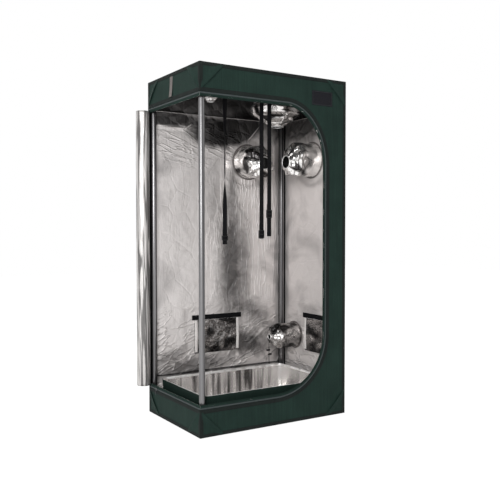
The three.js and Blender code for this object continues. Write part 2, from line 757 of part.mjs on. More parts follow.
function crossbar() {
  const inner = TUBE_RADIUS + GAP;
  const outer = inner + HOOK_WALL;
  const hooks = [-1, 1].map((side) => {
    const shape = new THREE.Shape();
    const from = side < 0 ? -QUARTER / 2 : 0;
    const to = side < 0 ? Math.PI : Math.PI + QUARTER / 2;
    shape.absarc(0, 0, outer, from, to);
    shape.absarc(0, 0, inner, to, from, true);
    return plate(shape, HOOK_WIDTH, X, Z, Y.clone().negate()).translate(side * POST_X, HOOK_WIDTH / 2, 0);
  });
  const seat = POST_X - inner - HOOK_WALL / 2;
  const sockets = [-1, 1].map((side) => rod(SOCKET_RADIUS, SOCKET_LENGTH, X)
    .translate(side * (seat - SOCKET_LENGTH / 2), 0, 0));
  const bar = rod(BAR_RADIUS, (seat - OVERRUN) * 2, X);
  const bore = rod(BAR_RADIUS - BAR_WALL, POST_X * 2, X);
  return cut(join(bar, ...sockets, ...hooks), bore);
}

function addCrossbars() {
  add('crossbar_front', crossbar(), steel).position.set(0, -CROSSBAR_PLACE, RAIL_TOP);
  add('crossbar_back', crossbar(), steel).position.set(0, CROSSBAR_PLACE, RAIL_TOP);
}

// Hanging straps: a sewn loop round the crossbar, the webbing below it, and a buckle on the webbing

function addStrap(number) {
  const place = STRAP_PLACES[number];
  const bottom = RAIL_TOP - STRAP_LENGTHS[number];
  const name = `strap_${number + 1}`;
  const inner = BAR_RADIUS + GAP;
  const outer = inner + WEB_THICK;
  const lean = Math.asin(WEB_THICK / outer);
  const loop = new THREE.Shape();
  loop.absarc(0, 0, outer, lean - QUARTER, FULL_TURN - QUARTER - lean);
  loop.lineTo(-WEB_THICK, -LOOP_TAIL);
  loop.lineTo(WEB_THICK, -LOOP_TAIL);
  loop.holes.push(portHole(0, 0, inner));
  const band = plate(loop, WEB_WIDTH, Y, Z, X).translate(-WEB_WIDTH / 2, 0, 0);
  add(`${name}_loop`, band, blackWebbing).position.set(place, -CROSSBAR_PLACE, RAIL_TOP);

  const top = RAIL_TOP - LOOP_TAIL - GAP;
  const buckleLow = bottom + BUCKLE_RISES[number];
  const buckleHeight = number ? BUCKLE_HEIGHT : SHORT_BUCKLE_HEIGHT;
  const tail = buckleLow + buckleHeight + WEB_TAIL;
  const near = WEB_THICK / 2;
  const second = near + PLY_GAP;
  const far = second + WEB_THICK;
  const fold = bottom + WEB_THICK;
  const outline = [
    [-near, top], [-near, bottom], [far, bottom], [far, tail],
    [second, tail], [second, fold], [near, fold], [near, top],
  ];
  const web = new THREE.Shape(outline.map(([along, up]) => new THREE.Vector2(along, up)));
  const webbing = plate(web, WEB_WIDTH, Y, Z, X).translate(place - WEB_WIDTH / 2, -CROSSBAR_PLACE, 0);
  add(`${name}_webbing`, webbing, blackWebbing);

  const halfWide = WEB_WIDTH / 2 + GAP;
  const slot = block([-halfWide, -near - GAP, -OVERRUN], [halfWide, far + GAP, buckleHeight + OVERRUN]);
  const frame = block([-halfWide - BUCKLE_WALL, -near - GAP - BUCKLE_WALL, 0],
    [halfWide + BUCKLE_WALL, far + GAP + BUCKLE_WALL, buckleHeight]);
  add(`${name}_buckle`, cut(frame, slot), blackPlastic).position.set(place, -CROSSBAR_PLACE, buckleLow);
}

// Spill tray: a soft-walled basin on the floor
function addTray() {
  const halfWide = POST_X - TUBE_RADIUS - TRAY_MARGIN;
  const halfDeep = POST_Y - TUBE_RADIUS - TRAY_MARGIN;
  const outside = roundedOutline(halfWide, halfDeep, TRAY_CORNER);
  const inside = roundedOutline(halfWide - TRAY_WALL, halfDeep - TRAY_WALL, TRAY_CORNER - TRAY_WALL);
  const low = SKIN_LOW;
  const basin = plate(outside, TRAY_RIM - low, X, Y, Z, CORD_ARC).translate(0, 0, low);
  const hollow = plate(inside, TRAY_RIM, X, Y, Z, CORD_ARC).translate(0, 0, low + TRAY_WALL);
  add('spill_tray', cut(basin, hollow), silverLining);
}

addConnectors();
addTubes();
addFront();
addBack();
addRight();
addRoofAndFloor();
addLeftBands();
addZip();
addSlider();
addDoorRoll();
addLabelAndTag();
addSleeves();
addDrawcord();
addVents();
addCrossbars();
STRAP_PLACES.forEach((_, number) => addStrap(number));
addTray();

export default tent;
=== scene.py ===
"""Indoor grow tent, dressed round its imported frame: cloth, foil lining, tubes, webbing and fittings.

Metres, +Z up. The front is at -Y, the left side at -X, and the doorway wraps the front left corner.
"""

import logging
import math
from collections.abc import Callable, Sequence
from dataclasses import dataclass, field
from enum import Enum

import bmesh
import bpy
from mathutils import Matrix, Vector, noise


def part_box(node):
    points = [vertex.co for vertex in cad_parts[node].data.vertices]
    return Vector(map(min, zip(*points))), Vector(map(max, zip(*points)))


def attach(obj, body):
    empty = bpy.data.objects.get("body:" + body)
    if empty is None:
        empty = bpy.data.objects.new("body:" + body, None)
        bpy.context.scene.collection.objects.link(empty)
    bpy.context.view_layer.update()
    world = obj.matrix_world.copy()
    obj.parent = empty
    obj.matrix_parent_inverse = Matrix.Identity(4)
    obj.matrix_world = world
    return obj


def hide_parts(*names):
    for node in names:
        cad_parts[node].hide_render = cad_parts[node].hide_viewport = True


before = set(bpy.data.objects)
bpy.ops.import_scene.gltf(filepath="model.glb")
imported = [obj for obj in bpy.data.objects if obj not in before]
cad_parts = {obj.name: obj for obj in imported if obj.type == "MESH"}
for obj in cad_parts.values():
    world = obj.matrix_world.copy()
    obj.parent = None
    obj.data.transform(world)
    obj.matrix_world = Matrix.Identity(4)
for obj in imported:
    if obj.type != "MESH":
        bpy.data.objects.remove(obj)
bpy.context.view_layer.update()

log = logging.getLogger("grow_tent")

Rule = Callable[[float, float], Vector]
Hole = Callable[[float, float], float]
Pairs = Sequence[tuple[float, float]]
Socket = bpy.types.NodeSocket
Mesh = bmesh.types.BMesh
Material = bpy.types.Material
Object = bpy.types.Object

FULL_TURN = math.tau
QUARTER = math.pi / 2
WELD = 1e-6
X = Vector((1, 0, 0))
Y = Vector((0, 1, 0))
Z = Vector((0, 0, 1))

HALF_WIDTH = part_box("front_panel")[1][0]
HALF_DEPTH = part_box("roof_panel")[1][1]
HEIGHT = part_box("roof_panel")[1][2]
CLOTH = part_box("floor_panel")[1][2]
GAP = 0.0003

# Middle lines of the tubes inside the shell's faces, and the tubes' radius.
TUBE_INSET = 0.0218
TUBE_RADIUS = 0.015

# Seed of the offsets inside noise_vector, which would otherwise change with the time of the run.
NOISE_SEED = 1795862122
# Height of the seam round the walls, places of the back and right linings, and a reach through them.
SEAM = 1.6665
BACK = 0.2985
RIGHT = 0.4485
DEEP = 0.2

# Ports: places on their walls and radii.
DUCT_HEIGHT = 1.417
DUCT_RADIUS = 0.1
BACK_DUCT = 0.193
INTAKE = (0.168, 0.376)
INTAKE_RADIUS = 0.075
ROOF_DUCT = 0.181
ROOF_DUCT_RADIUS = 0.122
CABLE_PORT = -0.225
CABLE_RADIUS = 0.045

# Vents: middles along their walls, half width and the heights of their edges.
BACK_VENT = -0.02
SIDE_VENT = -0.084
VENT_HALF = 0.14
VENT_LOW = 0.304
VENT_TOP = 0.488


class Slot(Enum):
    """The record's finishes."""

    CLOTH = "green_cloth"
    LINING = "silver_lining"
    STEEL = "steel_tube"
    PLASTIC = "black_plastic"
    WEBBING = "black_webbing"
    ZIP = "zip_tape"
    TAPE = "grey_tape"
    MESH = "black_mesh"
    ZINC = "zinc_metal"


def smooth(value: float, start: float = 0.0, end: float = 1.0) -> float:
    """Share from 0 to 1 as value goes from start to end, with soft ends."""
    share = min(max((value - start) / (end - start), 0.0), 1.0)
    return share * share * (3 - 2 * share)


def mixed(start: float, end: float, share: float) -> float:
    """Value between two others at a share of the way."""
    return start + (end - start) * share


def table_value(shares: Pairs, place: float) -> float:
    """Smooth value of a table of pairs at a place.

    Args:
        shares: pairs of place and value, with the places rising.
        place: where to read the table.

    Returns:
        The value there, eased between the two nearest pairs.
    """
    for (low, first), (high, second) in zip(shares, shares[1:]):
        if place <= high:
            return mixed(first, second, smooth(place, low, high))
    return shares[-1][1]


def colour(red: int, green: int, blue: int) -> tuple[float, float, float, float]:
    """Scene-linear colour of a screen colour given in 0 to 255.

    Args:
        red: its red, 0 to 255.
        green: its green.
        blue: its blue.

    Returns:
        Red, green, blue and opacity, from 0 to 1.
    """
    def linear(value: float) -> float:
        """Linear value of one screen channel."""
        return value / 12.92 if value <= 0.04045 else ((value + 0.055) / 1.055) ** 2.4

    return (linear(red / 255), linear(green / 255), linear(blue / 255), 1.0)


class NodeSheet:
    """Nodes of one procedural material on Object coordinates."""

    def __init__(self, name: str) -> None:
        """Starts a material with a Principled shader and nothing else.

        Args:
            name: the material's name.
        """
        self.material = bpy.data.materials.new(name)
        self.material.use_nodes = True
        self.tree = self.material.node_tree
        self.tree.nodes.clear()
        self.shader = self.add("ShaderNodeBsdfPrincipled")
        self.output = self.add("ShaderNodeOutputMaterial")
        self.join(self.shader.outputs["BSDF"], self.output.inputs["Surface"])
        self.place = self.add("ShaderNodeTexCoord").outputs["Object"]

    def add(self, kind: str, **settings: object) -> bpy.types.Node:
        """Adds a node of a kind and gives it its settings.

        Args:
            kind: Blender's name of the node.
            settings: the node's own settings.

        Returns:
            The node.
        """
        node = self.tree.nodes.new(kind)
        for name, value in settings.items():
            setattr(node, name, value)
        return node

    def join(self, source: Socket, target: Socket) -> None:
        """Links one socket to another."""
        self.tree.links.new(source, target)

    def put(self, target: Socket, value: object) -> None:
        """Gives a socket a link or a plain value.

        Args:
            target: socket that receives it.
            value: socket to link, or a plain value.
        """
        if isinstance(value, bpy.types.NodeSocket):
            self.join(value, target)
        else:
            target.default_value = value

    def math(self, operation: str, first: object, second: object = 0.0, third: object = 0.0) -> Socket:
        """Result of one arithmetic step.

        Args:
            operation: Blender's name of the step.
            first: first value or socket.
            second: second value or socket.
            third: third value or socket.

        Returns:
            The result.
        """
        node = self.add("ShaderNodeMath", operation=operation)
        for socket, value in zip(node.inputs, (first, second, third)):
            self.put(socket, value)
        return node.outputs[0]

    def stretched(self, scale: Sequence[float], place: Socket | None = None) -> Socket:
        """Object coordinates with each axis scaled.

        Args:
            scale: factor of each axis.
            place: coordinates to use instead of the piece's own.

        Returns:
            The scaled coordinates.
        """
        node = self.add("ShaderNodeMapping")
        node.inputs["Scale"].default_value = scale
        self.join(place or self.place, node.inputs["Vector"])
        return node.outputs[0]

    def noise(self, scale: float, detail: float = 2.0, place: Socket | None = None,
              rough: float = 0.5, warp: float = 0.0) -> Socket:
        """Cloudy noise from 0 to 1.

        Args:
            scale: lumps in a metre.
            detail: count of finer layers.
            place: coordinates to use instead of the piece's own.
            rough: weight of the finer layers.
            warp: how far places are shifted.

        Returns:
            The noise.
        """
        node = self.add("ShaderNodeTexNoise")
        self.join(place or self.place, node.inputs["Vector"])
        node.inputs["Scale"].default_value = scale
        node.inputs["Detail"].default_value = detail
        node.inputs["Roughness"].default_value = rough
        node.inputs["Distortion"].default_value = warp
        return node.outputs["Fac"]

    def bands(self, pitch: float, axis: str) -> Socket:
        """Fine ribs across an axis, one in each pitch.

        Args:
            pitch: distance from rib to rib.
            axis: axis that the ribs cross.

        Returns:
            The ribs, 0 to 1.
        """
        node = self.add("ShaderNodeTexWave", bands_direction=axis)
        self.join(self.place, node.inputs["Vector"])
        node.inputs["Scale"].default_value = FULL_TURN / (20 * pitch)
        return node.outputs["Fac"]

    def facets(self, scale: float, warp: float = 0.35) -> Socket:
        """Distance to the edges of crumpled facets, from places shifted by noise.

        Args:
            scale: facets in a metre.
            warp: how far places are shifted.

        Returns:
            The distance.
        """
        shift = self.add("ShaderNodeTexNoise")
        self.join(self.place, shift.inputs["Vector"])
        shift.inputs["Scale"].default_value = scale * 0.7
        pushed = self.add("ShaderNodeVectorMath", operation="MULTIPLY_ADD")
        self.join(shift.outputs["Color"], pushed.inputs[0])
        pushed.inputs[1].default_value = (warp / scale,) * 3
        self.join(self.place, pushed.inputs[2])
        cells = self.add("ShaderNodeTexVoronoi", feature="DISTANCE_TO_EDGE")
        self.join(pushed.outputs[0], cells.inputs["Vector"])
        cells.inputs["Scale"].default_value = scale
        return cells.outputs["Distance"]

    def blend(self, factor: Socket, dark: object, light: object) -> Socket:
        """Colour between two colours by a factor.

        Args:
            factor: share of the light colour.
            dark: colour at 0.
            light: colour at 1.

        Returns:
            The colour.
        """
        node = self.add("ShaderNodeMix", data_type="RGBA")
        self.join(factor, node.inputs["Factor"])
        self.put(node.inputs[6], dark)
        self.put(node.inputs[7], light)
        return node.outputs[2]

    def span(self, value: Socket, low: float, high: float, to_low: float = 0.0,
             to_high: float = 1.0) -> Socket:
        """Value carried from one range to another, held at its ends.

        Args:
            value: socket to carry over.
            low: start of the old range.
            high: end of the old range.
            to_low: start of the new range.
            to_high: end of the new range.

        Returns:
            The value in the new range.
        """
        node = self.add("ShaderNodeMapRange")
        self.join(value, node.inputs["Value"])
        for name, number in (("From Min", low), ("From Max", high), ("To Min", to_low), ("To Max", to_high)):
            node.inputs[name].default_value = number
        return node.outputs["Result"]

    def height(self) -> Socket:
        """How high a point of the surface is.

        Returns:
            The height.
        """
        node = self.add("ShaderNodeSeparateXYZ")
        self.join(self.place, node.inputs[0])
        return node.outputs["Z"]

    def bump(self, height: Socket, depth: float, under: Socket | None = None,
             strength: float = 1.0) -> Socket:
        """Normal of a relief of a depth in metres, over another normal.

        Args:
            height: height of the relief.
            depth: its depth in metres.
            under: normal that it lies on.
            strength: share of it that shows.

        Returns:
            The normal.
        """
        node = self.add("ShaderNodeBump")
        node.inputs["Strength"].default_value = strength
        node.inputs["Distance"].default_value = depth
        self.join(height, node.inputs["Height"])
        if under:
            self.join(under, node.inputs["Normal"])
        return node.outputs["Normal"]

    def turned(self, degrees: float) -> Socket:
        """Object coordinates turned about the tent's depth.

        Args:
            degrees: angle of the turn.

        Returns:
            The turned coordinates.
        """
        node = self.add("ShaderNodeMapping")
        node.inputs["Rotation"].default_value = (0, math.radians(degrees), 0)
        self.join(self.place, node.inputs["Vector"])
        return node.outputs[0]

    def creases(self, scale: float, place: Socket | None = None, sharp: float = 9.0) -> Socket:
        """Thin raised lines where a cloudy noise crosses its middle.

        Args:
            scale: lumps in a metre.
            place: coordinates to use instead of the piece's own.
            sharp: how thin the lines are.

        Returns:
            The lines, 0 to 1.
        """
        cloud = self.noise(scale, 2, place, 0.5, 0.25)
        away = self.math("ABSOLUTE", self.math("SUBTRACT", cloud, 0.5))
        return self.math("POWER", self.math("SUBTRACT", 1.0, self.math("MULTIPLY", away, 2.0)), sharp)

    def patch(self, area: "Patch") -> Socket:
        """Soft mask that is 1 in the middle of a patch and 0 outside it.

        Args:
            area: where the patch lies.

        Returns:
            The mask.
        """
        away = self.add("ShaderNodeVectorMath", operation="SUBTRACT")
        self.join(self.place, away.inputs[0])
        away.inputs[1].default_value = area.centre
        turn = self.add("ShaderNodeMapping")
        turn.inputs["Rotation"].default_value = (0, math.radians(area.turn), 0)
        self.join(away.outputs[0], turn.inputs["Vector"])
        scaled = self.add("ShaderNodeVectorMath", operation="DIVIDE")
        self.join(turn.outputs[0], scaled.inputs[0])
        scaled.inputs[1].default_value = area.reach
        length = self.add("ShaderNodeVectorMath", operation="LENGTH")
        self.join(scaled.outputs[0], length.inputs[0])
        ragged = self.math("MULTIPLY_ADD", self.noise(17, 4, warp=0.8), area.ragged, length.outputs["Value"])
        edge = 1.0 + area.ragged / 2
        return self.span(ragged, edge, edge - area.soft)

    def done(self, base: object, roughness: object, normal: Socket | None = None, metallic: float = 0.0,
             specular: float = 0.5) -> Material:
        """Sets the shader's main sockets and returns the material.

        Args:
            base: colour or socket.
            roughness: value or socket.
            normal: normal of the relief.
            metallic: share of metal.
            specular: strength of the sheen.

        Returns:
            The material.
        """
        self.put(self.shader.inputs["Base Color"], base)
        self.put(self.shader.inputs["Roughness"], roughness)
        self.shader.inputs["Metallic"].default_value = metallic
        self.shader.inputs["Specular IOR Level"].default_value = specular
        if normal:
            self.join(normal, self.shader.inputs["Normal"])
        return self.material


@dataclass(frozen=True)
class WovenCloth:
    """Coated woven cloth with upright streaks."""

    name: str
    dark: tuple[int, int, int]
    light: tuple[int, int, int]
    pitch: float = 0.0012
    roughness: float = 0.72

    def material(self) -> Material:
        """Builds the cloth's material.

        Returns:
            The material.
        """
        sheet = NodeSheet(self.name)
        threads = sheet.math("ADD", sheet.bands(self.pitch, "X"), sheet.bands(self.pitch, "Y"))
        weave = sheet.math("ADD", threads, sheet.bands(self.pitch, "Z"))
        streaks = sheet.noise(90, 3, sheet.stretched((1.6, 1.6, 0.05)))
        clouds = sheet.noise(9, 3)
        slub = sheet.noise(420, 2, sheet.stretched((1.0, 1.0, 0.25)))
        mottle = sheet.math("ADD", sheet.math("MULTIPLY", streaks, 0.5), sheet.math("MULTIPLY", slub, 0.3))
        factor = sheet.span(sheet.math("ADD", mottle, sheet.math("MULTIPLY", clouds, 0.4)), 0.35, 0.85)
        tone = sheet.blend(factor, colour(*self.dark), colour(*self.light))
        normal = sheet.bump(clouds, 0.004, strength=0.35)
        normal = sheet.bump(weave, 0.00016, normal, 0.7)
        return sheet.done(tone, self.roughness, normal, specular=0.12)


@dataclass(frozen=True)
class Patch:
    """An uneven oval part of the lining, turned about the tent's depth in degrees, which masks painted shade,
    painted highlights and stronger relief.
    """

    centre: tuple[float, float, float]
    reach: tuple[float, float, float]
    share: float
    turn: float = 0.0
    ragged: float = 0.7
    soft: float = 0.4


@dataclass(frozen=True)
class WallFoil:
    """Metallised lining of the walls, with thin creases, patches of painted shade and painted highlights
    along folds and the seam.
    """

    name: str
    dark: tuple[int, int, int] = (158, 154, 153)
    light: tuple[int, int, int] = (214, 209, 207)
    roughness: float = 0.42
    metallic: float = 0.55
    seam: float = SEAM
    # Painted shade: patches where the lining's colour is darkened, with a thin strip of painted shadow above
    # the tray's back rim.
    painted_shades: Sequence[Patch] = (
        Patch((-0.36, BACK, 1.640), (0.26, DEEP, 0.062), 0.92, ragged=0.3),
        Patch((-0.05, BACK, 1.585), (0.20, DEEP, 0.115), 0.94, ragged=0.4),
        Patch((0.12, BACK, 1.605), (0.22, DEEP, 0.105), 0.93, 20, 0.3, 0.3),
        Patch((0.085, BACK, 1.25), (0.055, DEEP, 0.26), 0.50, ragged=0.5, soft=0.8),
        Patch((-0.04, BACK, 1.18), (0.10, DEEP, 0.32), 0.40, ragged=0.6, soft=0.9),
        Patch((0.075, BACK, 0.82), (0.125, DEEP, 0.52), 0.84, ragged=0.5, soft=0.7),
        Patch((0.18, BACK, 0.86), (0.060, DEEP, 0.40), 0.45, ragged=0.5, soft=0.8),
        Patch((0.22, BACK, 0.52), (0.21, DEEP, 0.095), 0.72, -33, 1.1, 0.9),
        Patch((0.16, BACK, 0.34), (0.22, DEEP, 0.10), 0.85, -14, 0.9, 0.6),
        Patch((-0.16, BACK, 0.23), (0.36, DEEP, 0.07), 0.72, 6, 0.9, 0.6),
        Patch((-0.33, BACK, 0.29), (0.17, DEEP, 0.05), 0.6, 22, 1.2, 0.7),
        Patch((0.0, BACK, 0.194), (0.60, DEEP, 0.008), 0.85, ragged=0.3, soft=0.3),
        Patch((RIGHT, 0.12, 1.67), (DEEP, 0.34, 0.175), 0.86, ragged=0.5),
        Patch((0.449, -0.26, 0.35), (DEEP, 0.10, 0.3), 0.3, soft=0.8),
    )
    # Painted highlights: thin bright patches along folds of the back lining.
    folds: Sequence[Patch] = (
        Patch((-0.36, BACK, 1.589), (0.075, DEEP, 0.006), 1.0, ragged=0.4),
        Patch((-0.27, BACK, 1.584), (0.060, DEEP, 0.006), 1.0, ragged=0.4),
        Patch((-0.21, BACK, 1.598), (0.034, DEEP, 0.005), 0.9, 31, 0.4),
        Patch((0.225, BACK, 1.581), (0.086, DEEP, 0.0045), 0.9, 49.6, 0.3),
    )

    def shade(self, sheet: NodeSheet) -> Socket:
        """Builds the lining's painted light and shade: painted shade above the seam and in patches, and
        painted highlights along some folds and along the seam.

        Args:
            sheet: the material's nodes.

        Returns:
            The share of light, 0 to 1.
        """
        # Painted shade: above the seam the lining keeps 0.14 of its light share.
        shade = sheet.span(sheet.height(), self.seam + 0.002, self.seam - 0.002, 0.14, 1.0)
        # Painted shade: each patch darkens the lining by its share.
        for painted_shade in self.painted_shades:
            mask = sheet.math("MULTIPLY", sheet.patch(painted_shade), -painted_shade.share)
            shade = sheet.math("MULTIPLY", shade, sheet.math("ADD", mask, 1.0))
        # Painted highlights along the folds.
        for fold in self.folds:
            shade = sheet.math("MAXIMUM", shade, sheet.math("MULTIPLY", sheet.patch(fold), fold.share))
        # Painted highlight: a bright line along the seam.
        away = sheet.math("ABSOLUTE", sheet.math("SUBTRACT", sheet.height(), self.seam))
        return sheet.math("MAXIMUM", shade, sheet.span(away, 0.0036, 0.0016, 0.0, 0.9))

    def material(self) -> Material:
        """Builds the foil's material.

        Returns:
            The material.
        """
        sheet = NodeSheet(self.name)
        clouds = sheet.noise(3.5, 3, warp=0.5)
        upright = sheet.creases(12, sheet.stretched((1.7, 1.7, 0.26)), 30)
        slanted = sheet.creases(12, sheet.stretched((0.6, 1.0, 2.3), sheet.turned(24)), 24)
        straight = sheet.span(sheet.facets(7, 0.2), 0.0, 0.05)
        crinkle = sheet.creases(34, sharp=6)
        low = sheet.span(sheet.height(), 0.62, 0.34)
        gathered = sheet.patch(Patch((0.2, BACK, 1.0), (0.34, 0.25, 0.6), 1.0))
        gathered = sheet.math("MULTIPLY_ADD", gathered, 0.85, 0.15)
        fretted = sheet.patch(Patch((-0.14, BACK, 1.50), (0.36, DEEP, 0.15), 1.0))
        slack = sheet.creases(11, sheet.stretched((0.5, 1.0, 2.4), sheet.turned(-16)), 20)
        fretted = sheet.math("MULTIPLY", slack, fretted)
        shade = self.shade(sheet)
        # Where the painted shade lies, the crumpled facets' relief is deeper.
        deep = sheet.math("SUBTRACT", 1.0, shade)
        tone = sheet.blend(sheet.span(clouds, 0.25, 0.45), colour(*self.dark), colour(*self.light))
        # Painted shade: the colour goes to near black as the light share falls.
        tone = sheet.blend(shade, (0.012, 0.011, 0.011, 1.0), tone)
        normal = sheet.bump(straight, 0.0010, strength=0.5)
        normal = sheet.bump(sheet.math("MULTIPLY", upright, gathered), 0.0034, normal, 0.8)
        normal = sheet.bump(sheet.math("MULTIPLY", slanted, low), 0.0060, normal, 0.9)
        normal = sheet.bump(fretted, 0.0036, normal, 0.8)
        normal = sheet.bump(sheet.math("MULTIPLY", sheet.facets(13, 0.6), deep), 0.016, normal)
        normal = sheet.bump(crinkle, 0.0005, normal, 0.5)
        return sheet.done(tone, self.roughness, normal, metallic=self.metallic)


@dataclass(frozen=True)
class LooseFoil:
    """Bright metallised cloth in large soft folds, as on a sleeve, a roll or a basin, painted darker in the
    fold valleys and lighter on the crests as painted shade and highlights.
    """

    name: str
    dark: tuple[int, int, int]
    light: tuple[int, int, int]
    fold: float = 14.0
    depth: float = 0.006
    roughness: float = 0.2
    metallic: float = 0.95
    stretch: tuple[float, float, float] = (1.0, 1.0, 1.0)
    valley: tuple[float, float] = (0.38, 0.54)
    creased: float = 0.22

    def material(self) -> Material:
        """Builds the foil's material.

        Returns:
            The material.
        """
        sheet = NodeSheet(self.name)
        place = sheet.stretched(self.stretch)
        folds = sheet.noise(self.fold, 1, place, 0.4, 0.8)
        creases = sheet.creases(self.fold * 2.2, place, 7)
        crinkle = sheet.noise(self.fold * 7, 2, place)
        # Painted shade and highlight: the same noise that makes the folds' relief darkens the valleys and
        # lightens the crests.
        tone = sheet.blend(sheet.span(folds, *self.valley), colour(*self.dark), colour(*self.light))
        normal = sheet.bump(folds, self.depth)
        normal = sheet.bump(creases, self.depth * self.creased, normal, 0.7)
        normal = sheet.bump(crinkle, self.depth * 0.03, normal, 0.5)
        return sheet.done(tone, self.roughness, normal, metallic=self.metallic)


@dataclass(frozen=True)
class DrawnMetal:
    """Metal with fine lines along its length, painted reflection stripes along it and faint wear."""

    name: str
    tone: tuple[int, int, int]
    roughness: float = 0.33
    stretch: tuple[float, float, float] = (1.0, 1.0, 0.004)

    def material(self) -> Material:
        """Builds the metal's material.

        Returns:
            The material.
        """
        sheet = NodeSheet(self.name)
        lines = sheet.noise(420, 1, sheet.stretched(self.stretch))
        reflection_stripes = sheet.noise(95, 1, sheet.stretched(self.stretch))
        smears = sheet.noise(14, 3)
        red, green, blue = self.tone
        # Painted reflection: long stripes along the tube darken its colour to 0.58, as dark surroundings
        # reflected in it.
        painted_reflection_dark = colour(int(red * 0.58), int(green * 0.58), int(blue * 0.58))
        tone = sheet.blend(sheet.span(reflection_stripes, 0.40, 0.56), painted_reflection_dark, colour(*self.tone))
        wear = sheet.math("MULTIPLY_ADD", lines, 0.6, sheet.math("MULTIPLY", smears, 0.4))
        rough = sheet.span(wear, 0.3, 0.7, self.roughness - 0.04, self.roughness + 0.05)
        return sheet.done(tone, rough, metallic=0.95)


@dataclass(frozen=True)
class MouldedPlastic:
    """Moulded plastic with a fine spark grain."""

    name: str
    tone: tuple[int, int, int]
    roughness: float = 0.46

    def material(self) -> Material:
        """Builds the plastic's material.

        Returns:
            The material.
        """
        sheet = NodeSheet(self.name)
        grain = sheet.noise(1600, 2)
        scuffs = sheet.noise(60, 4)
        red, green, blue = self.tone
        light = colour(red + 12, green + 12, blue + 12)
        tone = sheet.blend(sheet.span(scuffs, 0.45, 0.8), colour(*self.tone), light)
        rough = sheet.span(scuffs, 0.3, 0.8, self.roughness, self.roughness + 0.14)
        return sheet.done(tone, rough, sheet.bump(grain, 0.00008, strength=0.5), specular=0.3)


@dataclass(frozen=True)
class RibbedTape:
    """Narrow woven tape or webbing, ribbed across its length."""

    name: str
    tone: tuple[int, int, int]
    pitch: float = 0.0016
    axis: str = "Z"
    roughness: float = 0.75

    def material(self) -> Material:
        """Builds the tape's material.

        Returns:
            The material.
        """
        sheet = NodeSheet(self.name)
        ribs = sheet.bands(self.pitch, self.axis)
        fuzz = sheet.noise(900, 3)
        red, green, blue = self.tone
        light = colour(int(red * 1.35) + 4, int(green * 1.35) + 4, int(blue * 1.35) + 4)
        mottle = sheet.math("ADD", sheet.math("MULTIPLY", ribs, 0.4), sheet.math("MULTIPLY", fuzz, 0.6))
        tone = sheet.blend(sheet.span(mottle, 0.3, 0.8), colour(*self.tone), light)
        normal = sheet.bump(fuzz, 0.0001, strength=0.5)
        normal = sheet.bump(ribs, 0.0003, normal, 0.8)
        return sheet.done(tone, self.roughness, normal, specular=0.12)


class Finishes:
    """Every material of the tent, made once."""

    def __init__(self) -> None:
        """Builds the materials."""
        self.green = WovenCloth("green_woven_cloth", (19, 34, 30), (32, 51, 45)).material()
        self.trim = WovenCloth("dark_binding_cloth", (18, 23, 22), (29, 35, 33), 0.0008).material()
        self.lip = WovenCloth("shaded_green_cloth", (13, 26, 22), (24, 40, 35)).material()
        self.lining = WallFoil("crinkled_lining").material()
        self.sleeve = LooseFoil("gathered_foil", (66, 64, 64), (244, 242, 240), 9, 0.012, 0.15, 0.92,
                                valley=(0.35, 0.48), creased=0.07).material()
        # Darker copies of the sleeve's foil: painted shade for the low sleeves and the roof's sleeves.
        self.shaded_low_sleeve = LooseFoil("lower_gathered_foil_painted_shade", (40, 39, 39), (200, 197, 195), 12, 0.011, 0.18,
                                    valley=(0.42, 0.57), creased=0.16).material()
        self.roof_sleeve = LooseFoil("roof_gathered_foil_painted_shade", (48, 47, 47), (228, 225, 223), 9, 0.011, 0.17,
                                     valley=(0.38, 0.52), creased=0.10).material()
        self.rim = LooseFoil("bright_rim_foil", (214, 212, 210), (246, 245, 244), 20, 0.001, 0.3,
                             0.6).material()
        self.flap = LooseFoil("flap_foil", (46, 45, 45), (166, 162, 160), 9, 0.009, 0.24,
                              stretch=(0.9, 0.9, 1.7), valley=(0.36, 0.64), creased=0.3).material()
        self.roll = LooseFoil("rolled_foil", (108, 106, 105), (198, 195, 193), 64, 0.003, 0.40, 0.6,
                              (1.0, 1.0, 0.05), (0.41, 0.53)).material()
        self.basin = LooseFoil("tray_foil", (104, 101, 100), (244, 241, 239), 15, 0.004, 0.24, 0.8,
                               (1.9, 0.45, 0.15), (0.30, 0.54)).material()
        self.steel = DrawnMetal("drawn_steel_tube", (132, 131, 132)).material()
        self.steel_across = DrawnMetal("drawn_steel_bar", (150, 150, 153), stretch=(0.004, 1, 1)).material()
        self.zinc = DrawnMetal("cast_zinc", (120, 122, 125), 0.38).material()
        self.plastic = MouldedPlastic("black_moulded_plastic", (14, 14, 16)).material()
        self.webbing = RibbedTape("black_webbing_ribs", (10, 10, 12)).material()
        self.zip_tape = RibbedTape("zip_tape_weave", (50, 57, 57), 0.0012).material()
        self.zip_teeth = MouldedPlastic("zip_coil_teeth", (66, 73, 73), 0.38).material()
        self.tag = RibbedTape("grey_ribbon", (92, 88, 86), 0.001).material()
        self.label = RibbedTape("bare_black_label", (21, 21, 25), 0.0009).material()
        self.net = MouldedPlastic("vent_net_yarn", (12, 12, 14), 0.7).material()
        self.black_cloth = WovenCloth("black_sleeve_cloth", (6, 6, 7), (13, 13, 15)).material()
        self.velcro = RibbedTape("hook_and_loop_pile", (9, 9, 11), 0.0011, roughness=0.95).material()
        self.piping = WovenCloth("pale_flap_piping", (190, 186, 183), (226, 222, 220), 0.0008).material()


@dataclass
class Assembly:
    """A sub-assembly of the tent, dressed in the tent's finishes."""

    looks: Finishes

    def build(self) -> None:
        """Adds the sub-assembly's pieces."""
        raise NotImplementedError


